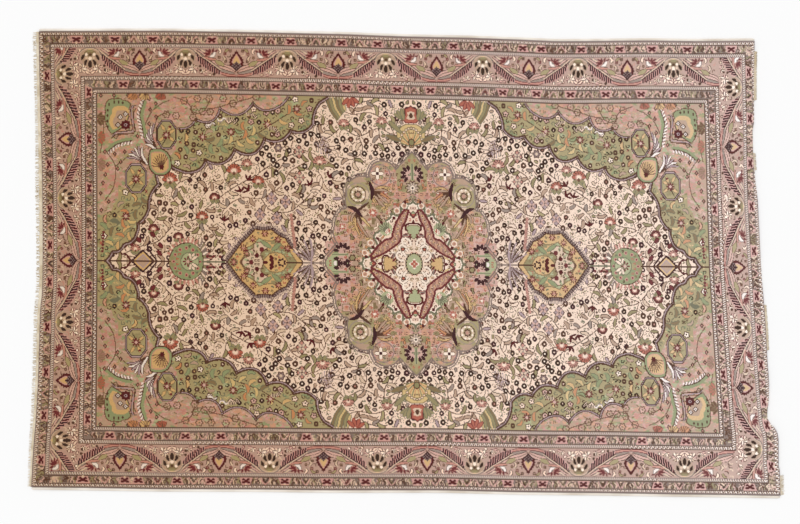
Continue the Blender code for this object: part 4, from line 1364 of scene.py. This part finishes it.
# camera: straight above, at the distance where one photo pixel is three millimetres
cameraPlace = {"x": -0.0195, "y": 0.003, "height": 3.3333, "lens": 50.0}
originX = bodyLow.x + 1.1265      # the photo's own middle, in the frame
originY = bodyLow.y + 0.6984
cameraData = bpy.data.cameras.new("photoCamera")
cameraData.lens = cameraPlace["lens"]
camera = bpy.data.objects.new("photoCamera", cameraData)
camera.location = (originX + cameraPlace["x"], originY + cameraPlace["y"],
                   bodyHigh.z + cameraPlace["height"])
bpy.context.collection.objects.link(camera)
bpy.context.scene.camera = camera
print("camera ready")


def table(rows, place):
    # a value at a place, read between the places of a short table
    places, values = zip(*rows)
    return np.interp(place, places, values)


def outermost(points, way):
    # one side's points in order; of points that share a place only the outer one belongs to it
    kept = []
    for place, value in sorted(points):
        if kept and place - kept[-1][0] < 0.009:
            if way * value > way * kept[-1][1]:
                kept[-1] = (place, value)
        else:
            kept.append((place, value))
    return kept


def readOutline():
    # the pile's outline as the solid has it: each side's points lie beyond the line given for it
    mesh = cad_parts["rug_body"].data
    rim = [(v.co.x - originX, v.co.y - originY) for v in mesh.vertices
           if 0.001 < v.co.z - bodyLow.z < 0.007]
    return {
        "far": outermost([(x, y) for x, y in rim if y > 0.655], 1),
        "near": outermost([(x, y) for x, y in rim if y < -0.666], -1),
        "left": outermost([(y, x) for x, y in rim if x < -1.06], -1),
        "right": outermost([(y, x) for x, y in rim if x > 1.03], 1),
    }


rugSides = readOutline()
# how the chart lies on the real, uneven rug, in metres from the photo's middle: each line is given as
# (y, x), the two borders by their depth and the long middle line by a point and its tilt; "rightWhole"
# is where the torn right end once was
chartLines = {
    "leftField": [(-0.486, -0.930), (0.007, -0.927), (0.507, -0.928)],
    "centre": [(-0.504, 0.0339), (-0.003, 0.0237), (0.507, 0.0117)],
    "rightField": [(-0.509, 0.9378), (-0.020, 0.9075), (0.477, 0.8925)],
    "rightWhole": [(-0.699, 1.1235), (-0.621, 1.1175), (-0.531, 1.1145), (-0.471, 1.0995), (-0.381, 1.0905),
                   (-0.261, 1.0815), (-0.003, 1.0665), (0.189, 1.0545), (0.294, 1.0521), (0.399, 1.0521),
                   (0.666, 1.0455)],
    "farBorder": 0.188,
    "nearBorder": 0.186,
    "middle": {"x": 0.0237, "y": -0.003, "tilt": 0.0107},
}


def interpolated(value, marks, lines):
    # a point between landmark lines that themselves vary from place to place
    result = np.array(lines[0], float)
    for low, high, a, b in zip(marks, marks[1:], lines, lines[1:]):
        share = np.clip((value - low) / (high - low), 0, 1)
        result = np.where(value >= low, a + (b - a) * share, result)
    return result


def placeOnRug(u, v):
    # where a point of the chart (centimetres from its middle) lies on the rug
    uMarks = (-halfLength, -fieldLength, 0, fieldLength, halfLength)
    vMarks = (-halfWidth, -fieldWidth, 0, fieldWidth, halfWidth)
    y = v * 0.01
    # x and y each depend a little on the other, and settle in three rounds
    for settling in range(3):
        left = table(rugSides["left"], y)
        right = np.maximum(table(chartLines["rightWhole"], y), table(rugSides["right"], y))
        xs = np.stack([left, table(chartLines["leftField"], y), table(chartLines["centre"], y),
                       table(chartLines["rightField"], y), right])
        x = interpolated(u, uMarks, xs)
        far, near = table(rugSides["far"], x), table(rugSides["near"], x)
        middle = chartLines["middle"]["y"] - (x - chartLines["middle"]["x"]) * chartLines["middle"]["tilt"]
        ys = np.stack([near, near + chartLines["nearBorder"], middle, far - chartLines["farBorder"], far])
        y = interpolated(v, vMarks, ys)
    return x, y


pileMesh = {
    "across": 250, "along": 152, "knotsPerFace": 4, "wave": 0.0003, "edgeDrop": 0.0016, "edgeRound": 0.012,
    "skin": 0.0006, "seam": 0.004,
    # the baked picture: the pile above, the underside in a narrow strip below it
    "bakeMargin": 0.005, "bakeWide": 0.99, "bakeFoot": 0.21, "bakeTall": 0.785, "underTall": 0.19,
}


def pileSurface(flat):
    # every grid point's place on the rug, its place among the knots, and which points are torn away
    u, v = flat[:, 0] * halfLength, flat[:, 1] * halfWidth
    x, y = placeOnRug(u, v)
    columns, rows = (flat[:, 0] + 1) * chartColumns / 2, (flat[:, 1] + 1) * chartRows / 2
    # the torn right end: points past the outline come back to it, and their knots with them
    real = table(rugSides["right"], y)
    past = x > real + 1e-5
    inner = placeOnRug(u - pileMesh["knotsPerFace"] * knot, v)[0]
    back = np.where(past, (x - real) / np.maximum(x - inner, 1e-4), 0)
    columns = columns - np.clip(back, 0, 1) * pileMesh["knotsPerFace"]
    x = np.where(past, real, x)
    fromEdge = np.minimum(np.minimum(flat[:, 0] + 1, 1 - flat[:, 0]) * halfLength / 100,
                          np.minimum(flat[:, 1] + 1, 1 - flat[:, 1]) * halfWidth / 100)
    lift = pileMesh["wave"] * (np.sin(x * 9 + 1.3) * np.cos(y * 7) + np.sin(x * 23 + y * 17) * 0.5)
    drop = pileMesh["edgeDrop"] * np.clip(1 - fromEdge / pileMesh["edgeRound"], 0, 1) ** 2
    z = bodyHigh.z - pileMesh["skin"] + lift - drop
    return np.column_stack([originX + x, originY + y, z]), columns, rows, back >= 1.0


def tieKnots(bm, columns, rows):
    # each face carries four rows of four knots, a row packed into one number to the base of the wools
    chart = buildChart()["ties"]
    print("chart tied:", chart.shape[1], "by", chart.shape[0], "knots")
    perFace, seam = pileMesh["knotsPerFace"], pileMesh["seam"]
    perRow = pileMesh["across"] + 1
    uvLayer = bm.loops.layers.uv.new("knotPlace")
    bakeLayer = bm.loops.layers.uv.new("OFBake")
    packed = [bm.faces.layers.float.new(f"knotRow{i}") for i in range(perFace)]
    base = woolCount ** np.arange(perFace)
    for face in bm.faces:
        columnStart = min(v.index % perRow for v in face.verts) * perFace
        rowStart = min(v.index // perRow for v in face.verts) * perFace
        block = chart[rowStart:rowStart + perFace, columnStart:columnStart + perFace].astype(int)
        for i in range(perFace):
            face[packed[i]] = float((block[i] * base).sum())
        for loop in face.loops:
            k = loop.vert.index
            loop[uvLayer].uv = (min(max(columns[k] - columnStart, seam), perFace - seam),
                                min(max(rows[k] - rowStart, seam), perFace - seam))
            loop[bakeLayer].uv = (pileMesh["bakeMargin"] + pileMesh["bakeWide"] * columns[k] / chartColumns,
                                  pileMesh["bakeFoot"] + pileMesh["bakeTall"] * rows[k] / chartRows)
        face.smooth = True
    return bakeLayer


def addUnderside(bm, bakeLayer):
    # the underside and the edge: the same knots seen from behind
    solid = bmesh.ops.extrude_face_region(bm, geom=list(bm.faces))
    under = [g for g in solid["geom"] if isinstance(g, bmesh.types.BMFace)]
    for face in under:
        for loop in face.loops:
            up = (loop[bakeLayer].uv.y - pileMesh["bakeFoot"]) / pileMesh["bakeTall"]
            loop[bakeLayer].uv.y = pileMesh["bakeMargin"] + up * pileMesh["underTall"]
    for vert in {v for face in under for v in face.verts}:
        vert.co.z = bodyLow.z + 0.0002


def buildPile():
    bm = bmesh.new()
    bmesh.ops.create_grid(bm, x_segments=pileMesh["across"], y_segments=pileMesh["along"], size=1.0)
    bm.verts.ensure_lookup_table()
    places, columns, rows, gone = pileSurface(np.array([v.co for v in bm.verts]))
    for i, vert in enumerate(bm.verts):
        vert.co = places[i]
    lost = [f for f in bm.faces if all(gone[v.index] for v in f.verts)]
    bakeLayer = tieKnots(bm, columns, rows)
    bmesh.ops.delete(bm, geom=lost, context="FACES")
    bmesh.ops.delete(bm, geom=[v for v in bm.verts if not v.link_faces], context="VERTS")
    addUnderside(bm, bakeLayer)
    bmesh.ops.recalc_face_normals(bm, faces=bm.faces)
    mesh = bpy.data.meshes.new("rug_pile")
    bm.to_mesh(mesh)
    bm.free()
    pile = bpy.data.objects.new("rug_pile", mesh)
    bpy.context.collection.objects.link(pile)
    return pile


pileWool = {
    "roughness": 0.92, "sheen": 0.12, "knotSize": 0.00225, "bump": 0.5, "bumpDepth": 0.0006,
    # from the darker, warmer left end to the faded, paler right one
    "tint": [(0.0, "#EDDFCD"), (0.3, "#F5EADF"), (0.6, "#FBF6F6"), (1.0, "#FFFCFF")],
    "bleaching": 0.22,
    # dye lots lie in bands along the wefts, and every knot differs a little
    "lotScale": (9.0, 1.6, 1.0), "lotRange": 0.22, "knotRange": 0.12, "darkest": 0.85,
}


def woolMaterial():
    # hand-knotted wool: flat even colour from each knot, a soft sheen, rows of knots just showing
    material, tree = newMaterial("knottedPileWool")
    # the knot under a point: its row picks one of the face's four numbers, its column a digit of that
    place = addNode(tree, "ShaderNodeUVMap", uv_map="knotPlace").outputs[0]
    split = addNode(tree, "ShaderNodeSeparateXYZ", {0: place})
    u, v = split.outputs[0], split.outputs[1]
    rows = [addNode(tree, "ShaderNodeAttribute", attribute_name=f"knotRow{i}").outputs["Fac"]
            for i in range(pileMesh["knotsPerFace"])]
    picked = rows[0]
    for i in range(1, pileMesh["knotsPerFace"]):
        step = maths(tree, "SUBTRACT", rows[i], rows[i - 1])
        beyond = maths(tree, "GREATER_THAN", v, float(i))
        picked = maths(tree, "MULTIPLY_ADD", step, beyond, picked)
    divisor = 1.0
    for i in range(pileMesh["knotsPerFace"] - 1):
        beyond = maths(tree, "GREATER_THAN", u, float(i + 1))
        divisor = maths(tree, "MULTIPLY_ADD", beyond, float(woolCount ** (i + 1) - woolCount ** i), divisor)
    number = maths(tree, "FLOOR", maths(tree, "DIVIDE", picked, divisor))
    number = maths(tree, "MODULO", number, float(woolCount))
    share = maths(tree, "MULTIPLY_ADD", number, 1 / woolCount, 0.5 / woolCount)
    ramp = addNode(tree, "ShaderNodeValToRGB", {"Fac": share})
    ramp.color_ramp.interpolation = "CONSTANT"
    skeins = ramp.color_ramp.elements
    for i, hexColour in enumerate(wools.values()):
        skein = skeins[i] if i < 2 else skeins.new(i / woolCount)
        skein.position = i / woolCount
        skein.color = linearColour(hexColour)
    # fading from end to end
    where = addNode(tree, "ShaderNodeTexCoord").outputs["Object"]
    along = addNode(tree, "ShaderNodeSeparateXYZ", {0: where}).outputs[0]
    end = maths(tree, "MULTIPLY_ADD", along, 0.44, 0.5)
    faded = addNode(tree, "ShaderNodeValToRGB", {"Fac": end})
    marks = faded.color_ramp.elements
    for i, (place, hexColour) in enumerate(pileWool["tint"]):
        mark = marks[i] if i < 2 else marks.new(place)
        mark.position = place
        mark.color = linearColour(hexColour)
    colour = multiplied(tree, ramp.outputs["Color"], faded.outputs["Color"])
    bleach = maths(tree, "MAXIMUM", maths(tree, "MULTIPLY_ADD", end, 1.5, -0.5), 0.0)
    paler = maths(tree, "MULTIPLY_ADD", bleach, -pileWool["bleaching"], 1.0)
    lighter = maths(tree, "MULTIPLY_ADD", bleach, 1.2 * pileWool["bleaching"], 1.0)
    colour = addNode(tree, "ShaderNodeHueSaturation",
                     {"Color": colour, "Saturation": paler, "Value": lighter}).outputs[0]
    # dye lots: faint bands along the wefts, and every knot a little lighter or darker
    bands = addNode(tree, "ShaderNodeMapping", {"Vector": where, "Scale": pileWool["lotScale"]}).outputs[0]
    lots = addNode(tree, "ShaderNodeTexNoise", {"Vector": bands, "Scale": 1.0, "Detail": 3.0}).outputs["Fac"]
    knots = addNode(tree, "ShaderNodeVectorMath", {0: where, 1: (pileWool["knotSize"],) * 3},
                    operation="SNAP")
    single = addNode(tree, "ShaderNodeTexWhiteNoise", {"Vector": knots.outputs[0]}).outputs["Value"]
    lift = maths(tree, "MULTIPLY_ADD", lots, pileWool["lotRange"], pileWool["darkest"])
    lift = maths(tree, "MULTIPLY_ADD", single, pileWool["knotRange"], lift)
    tone = addNode(tree, "ShaderNodeCombineColor", {0: lift, 1: lift, 2: lift}).outputs[0]
    colour = multiplied(tree, colour, tone)
    # each knot a small tuft, in rows
    tuftAcross = maths(tree, "ABSOLUTE", maths(tree, "SINE", maths(tree, "MULTIPLY", u, math.pi)))
    tuftAlong = maths(tree, "ABSOLUTE", maths(tree, "SINE", maths(tree, "MULTIPLY", v, math.pi)))
    tuft = maths(tree, "MULTIPLY", tuftAcross, tuftAlong)
    bump = addNode(tree, "ShaderNodeBump", {"Height": tuft, "Strength": pileWool["bump"],
                                            "Distance": pileWool["bumpDepth"]})
    shader = addNode(tree, "ShaderNodeBsdfPrincipled",
                     {"Base Color": colour, "Roughness": pileWool["roughness"], "Specular IOR Level": 0.15,
                      "Sheen Weight": pileWool["sheen"], "Sheen Roughness": 0.6,
                      "Normal": bump.outputs["Normal"]})
    addNode(tree, "ShaderNodeOutputMaterial", {"Surface": shader.outputs[0]})
    return material


pile = buildPile()
pile.data.materials.append(woolMaterial())
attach(pile, "root")
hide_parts("rug_body")
print("pile ready:", len(pile.data.polygons), "faces")


def finishPiece(name, bm, material, node):
    # a finished piece at the origin, standing for its CAD node
    bmesh.ops.recalc_face_normals(bm, faces=bm.faces)
    mesh = bpy.data.meshes.new(name)
    bm.to_mesh(mesh)
    bm.free()
    mesh.materials.append(material)
    for polygon in mesh.polygons:
        polygon.use_smooth = True
    piece = bpy.data.objects.new(name, mesh)
    bpy.context.collection.objects.link(piece)
    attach(piece, "root")
    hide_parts(node)
    return piece


selvedge = {"width": 0.0085, "height": 0.0065, "gap": 0.0003, "wrap": 0.0030, "ridge": 0.0005, "lean": 1.0,
            "fit": 0.985}


def selvedgeMaterial():
    # ivory wool yarn overcast round the outer warps, dulled and a little grey with handling
    material, tree = newMaterial("overcastSelvedgeWool")
    place = addNode(tree, "ShaderNodeTexCoord").outputs["Object"]
    stain = addNode(tree, "ShaderNodeTexNoise", {"Vector": place, "Scale": 9.0, "Detail": 3.0})
    tone = addNode(tree, "ShaderNodeValToRGB", {"Fac": stain.outputs["Fac"]})
    tone.color_ramp.elements[0].position = 0.35
    tone.color_ramp.elements[0].color = linearColour("#DDD1C2")
    tone.color_ramp.elements[1].position = 0.62
    tone.color_ramp.elements[1].color = linearColour("#F6EEE3")
    fuzz = addNode(tree, "ShaderNodeTexNoise", {"Vector": place, "Scale": 2200.0, "Detail": 2.0})
    bump = addNode(tree, "ShaderNodeBump", {"Height": fuzz.outputs["Fac"], "Strength": 0.3,
                                            "Distance": 0.0004})
    shader = addNode(tree, "ShaderNodeBsdfPrincipled",
                     {"Base Color": tone.outputs["Color"], "Roughness": 0.9, "Specular IOR Level": 0.15,
                      "Sheen Weight": 0.2, "Normal": bump.outputs["Normal"]})
    addNode(tree, "ShaderNodeOutputMaterial", {"Surface": shader.outputs[0]})
    return material


def buildSelvedge(name, side, node, material):
    low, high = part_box(node)
    away = 1 if side == "far" else -1
    steps = int((high.x - low.x) / (selvedge["wrap"] / 3))
    # a grid rolled up into a tube that swells with each turn of the yarn and tapers at both ends
    bm = bmesh.new()
    bmesh.ops.create_grid(bm, x_segments=steps, y_segments=12, size=1.0)
    for vert in bm.verts:
        share, angle = (vert.co.x + 1) / 2, (vert.co.y + 1) * math.pi
        x = low.x + share * (high.x - low.x)
        turns = (x - low.x) / selvedge["wrap"] + angle / (2 * math.pi) * selvedge["lean"]
        swell = 1 - selvedge["ridge"] / (selvedge["height"] / 2) * (1 - abs(math.sin(turns * math.pi)))
        slim = min(1.0, 0.35 + min(share, 1 - share) * 260)
        reach = selvedge["gap"] + selvedge["width"] / 2
        y = originY + float(table(rugSides[side], x - originX)) + away * reach
        out = math.cos(angle) * selvedge["width"] / 2 * swell * slim * selvedge["fit"]
        rise = math.sin(angle) * selvedge["height"] / 2 * swell * slim * selvedge["fit"]
        vert.co = (x, y + out, low.z + selvedge["height"] / 2 + rise)
    bmesh.ops.remove_doubles(bm, verts=bm.verts, dist=0.00002)
    bmesh.ops.holes_fill(bm, edges=[e for e in bm.edges if e.is_boundary], sides=0)
    return finishPiece(name, bm, material, node)


overcast = selvedgeMaterial()
buildSelvedge("selvedge_far_yarn", "far", "selvedge_far", overcast)
buildSelvedge("selvedge_near_yarn", "near", "selvedge_near", overcast)
print("selvedges ready")

# each strip's node, the pile's side, its span along that side, then the woven strip's width and the
# strands' length at places along it
fringeStrips = [
    ("fringe_left", "left", (-0.672, 0.695),
     [(-0.67, 0.0060), (-0.47, 0.0080), (-0.14, 0.0090), (0.04, 0.0110), (0.25, 0.0110), (0.37, 0.0095),
      (0.69, 0.0080)],
     [(-0.67, 0.0065), (-0.56, 0.0085), (-0.37, 0.0110), (-0.26, 0.0120), (0.04, 0.0110), (0.25, 0.0120),
      (0.37, 0.0100), (0.49, 0.0095), (0.61, 0.0115), (0.69, 0.0120)]),
    ("fringe_right_upper", "right", (0.489, 0.636), [(0, 0.0065)], [(0, 0.0040)]),
    ("fringe_right_middle", "right", (0.278, 0.331), [(0, 0.0045)], [(0, 0.0060)]),
    ("fringe_right_lower", "right", (-0.262, -0.126), [(0, 0.0055)], [(0, 0.0035)]),
    ("fringe_right_corner", "right", (-0.698, -0.639), [(0, 0.0040)], [(0, 0.0095)]),
]
fringe = {"pitch": 0.0046, "yarnsInStrand": 3, "yarn": 0.00062, "stripHeight": 0.0027, "gap": 0.0003,
          "slack": 0.0005, "root": 0.0014, "lean": 0.35}


def cottonMaterial():
    # undyed cotton warps: off-white with darker soiled patches here and there, matt
    material, tree = newMaterial("undyedWarpCotton")
    place = addNode(tree, "ShaderNodeTexCoord").outputs["Object"]
    soil = addNode(tree, "ShaderNodeTexNoise", {"Vector": place, "Scale": 26.0, "Detail": 4.0})
    tone = addNode(tree, "ShaderNodeValToRGB", {"Fac": soil.outputs["Fac"]})
    tone.color_ramp.elements[0].position = 0.36
    tone.color_ramp.elements[0].color = linearColour("#CDB998")
    tone.color_ramp.elements[1].position = 0.6
    tone.color_ramp.elements[1].color = linearColour("#ECDEC6")
    ribs = addNode(tree, "ShaderNodeTexWave", {"Vector": place, "Scale": 260.0, "Distortion": 1.5},
                   bands_direction="X").outputs["Fac"]
    bump = addNode(tree, "ShaderNodeBump", {"Height": ribs, "Strength": 0.4, "Distance": 0.0005})
    shader = addNode(tree, "ShaderNodeBsdfPrincipled",
                     {"Base Color": tone.outputs["Color"], "Roughness": 0.88, "Specular IOR Level": 0.2,
                      "Sheen Weight": 0.15, "Normal": bump.outputs["Normal"]})
    addNode(tree, "ShaderNodeOutputMaterial", {"Surface": shader.outputs[0]})
    return material


def addYarn(bm, template, root, length, turn, droop, phase):
    # one twisted yarn: the straight template, stretched, bent and laid down
    before = len(bm.verts)
    bm.from_mesh(template)
    bm.verts.ensure_lookup_table()
    c, s = math.cos(turn), math.sin(turn)
    for vert in bm.verts[before:]:
        share = max(0.0, vert.co.x)
        away = share * length
        sway = math.sin(share * 3.1 + phase) * length * 0.10 * share
        y, z = vert.co.y * (1 - 0.35 * share), vert.co.z * (1 - 0.35 * share)
        height = root[2] + (droop - root[2]) * min(1, share * 1.6) ** 1.3
        vert.co = (root[0] + away * c - (y + sway) * s, root[1] + away * s + (y + sway) * c, height + z)


def yarnTemplate():
    # one straight yarn, a metre long, that every strand is made of
    single = bmesh.new()
    bmesh.ops.create_circle(single, cap_ends=True, segments=5, radius=fringe["yarn"],
                            matrix=Matrix.Rotation(math.pi / 2, 4, "Y"))
    tip = list(single.faces)
    for i in range(5):
        grown = bmesh.ops.extrude_face_region(single, geom=tip)
        if i:
            bmesh.ops.delete(single, geom=tip, context="FACES_ONLY")
        tip = [g for g in grown["geom"] if isinstance(g, bmesh.types.BMFace)]
        ring = [g for g in grown["geom"] if isinstance(g, bmesh.types.BMVert)]
        bmesh.ops.translate(single, verts=ring, vec=(0.2, 0, 0))
        bmesh.ops.rotate(single, verts=ring, cent=(0, 0, 0), matrix=Matrix.Rotation(0.5, 3, "X"))
    template = bpy.data.meshes.new("yarnTemplate")
    single.to_mesh(template)
    single.free()
    return template


def weaveStrip(bm, side, span, widths):
    # the plain-woven strip from which the strands grow, thinner towards its outer edge
    away = -1 if side == "left" else 1
    steps = max(8, int((span[1] - span[0]) / 0.004))
    bmesh.ops.create_grid(bm, x_segments=steps, y_segments=5, size=1.0)
    for vert in bm.verts:
        y = span[0] + (vert.co.x + 1) / 2 * (span[1] - span[0])
        across = (vert.co.y + 1) / 2
        wide = float(table(widths, y)) * (1 + 0.12 * math.sin(y * 190) * (across > 0.9))
        x = float(table(rugSides[side], y)) + away * (fringe["gap"] + across * wide)
        ribs = 0.9 + 0.1 * math.sin(y * 700 + across * 9)
        z = bodyLow.z + fringe["stripHeight"] * ribs * (1 - 0.25 * across ** 3)
        vert.co = (originX + x, originY + y, z)
    grown = bmesh.ops.extrude_face_region(bm, geom=list(bm.faces))
    for vert in [g for g in grown["geom"] if isinstance(g, bmesh.types.BMVert)]:
        vert.co.z = bodyLow.z + 0.0001


def hangStrands(bm, template, side, span, widths, lengths):
    # a few yarns together at every step along the strip
    away = -1 if side == "left" else 1
    count = int((span[1] - span[0]) / fringe["pitch"])
    for i in range(count):
        y = span[0] + (i + 0.5) / count * (span[1] - span[0])
        wide, long = float(table(widths, y)), float(table(lengths, y))
        x = float(table(rugSides[side], y)) + away * (fringe["gap"] + wide * 0.85)
        lean = threads.uniform(-fringe["lean"], fringe["lean"])
        for k in range(fringe["yarnsInStrand"]):
            turn = (math.pi if side == "left" else 0) + lean + (k - 1) * threads.uniform(0.05, 0.3)
            length = long * threads.uniform(0.7, 1.1) + wide * 0.15
            root = (originX + x, originY + y + (k - 1) * fringe["yarn"] * 1.3, bodyLow.z + fringe["root"])
            droop = bodyLow.z + fringe["yarn"] * 1.05
            addYarn(bm, template, root, length, turn, droop, threads.random() * 6)


def buildFringes(material):
    template = yarnTemplate()
    slack = fringe["slack"]
    for name, side, span, widths, lengths in fringeStrips:
        nodeLow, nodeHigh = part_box(name)
        bm = bmesh.new()
        weaveStrip(bm, side, span, widths)
        hangStrands(bm, template, side, span, widths, lengths)
        # no yarn's end strays from its strip's own box
        for vert in bm.verts:
            vert.co.x = min(max(vert.co.x, nodeLow.x - slack), nodeHigh.x + slack)
            vert.co.y = min(max(vert.co.y, nodeLow.y - slack), nodeHigh.y + slack)
        finishPiece(name + "_cotton", bm, material, name)
    bpy.data.meshes.remove(template)


threads = random.Random(5)
buildFringes(cottonMaterial())
print("fringes ready")

studio = {"floorHalf": 6.0, "floorDrop": 0.0002, "floor": "#FCFCFC", "sky": 0.8, "key": 0.75,
          "keySpread": 0.6, "keyTilt": (-25, -20)}


def layFloor():
    mesh = bpy.data.meshes.new("floor")
    bm = bmesh.new()
    bmesh.ops.create_grid(bm, x_segments=1, y_segments=1, size=studio["floorHalf"])
    bmesh.ops.translate(bm, verts=bm.verts, vec=(0, 0, cadLow.z - studio["floorDrop"]))
    bm.to_mesh(mesh)
    bm.free()
    floor = bpy.data.objects.new("floor", mesh)
    bpy.context.collection.objects.link(floor)
    # plain matt paint, almost white
    paint, tree = newMaterial("paleFloor")
    shader = addNode(tree, "ShaderNodeBsdfPrincipled",
                     {"Base Color": linearColour(studio["floor"]), "Roughness": 0.9,
                      "Specular IOR Level": 0.0})
    addNode(tree, "ShaderNodeOutputMaterial", {"Surface": shader.outputs[0]})
    mesh.materials.append(paint)


def lightStudio():
    # an even white sky and one broad soft key from above
    world = bpy.data.worlds.new("studio")
    world.use_nodes = True
    sky = world.node_tree.nodes["Background"]
    sky.inputs["Color"].default_value = (1, 1, 1, 1)
    sky.inputs["Strength"].default_value = studio["sky"]
    bpy.context.scene.world = world
    sunData = bpy.data.lights.new("softKey", "SUN")
    sunData.energy = studio["key"]
    sunData.angle = studio["keySpread"]
    sun = bpy.data.objects.new("softKey", sunData)
    tiltX, tiltY = studio["keyTilt"]
    sun.rotation_euler = (math.radians(tiltX), math.radians(tiltY), 0)
    bpy.context.collection.objects.link(sun)
    bpy.context.scene.view_settings.view_transform = "Standard"


layFloor()
lightStudio()
print("floor and light ready")
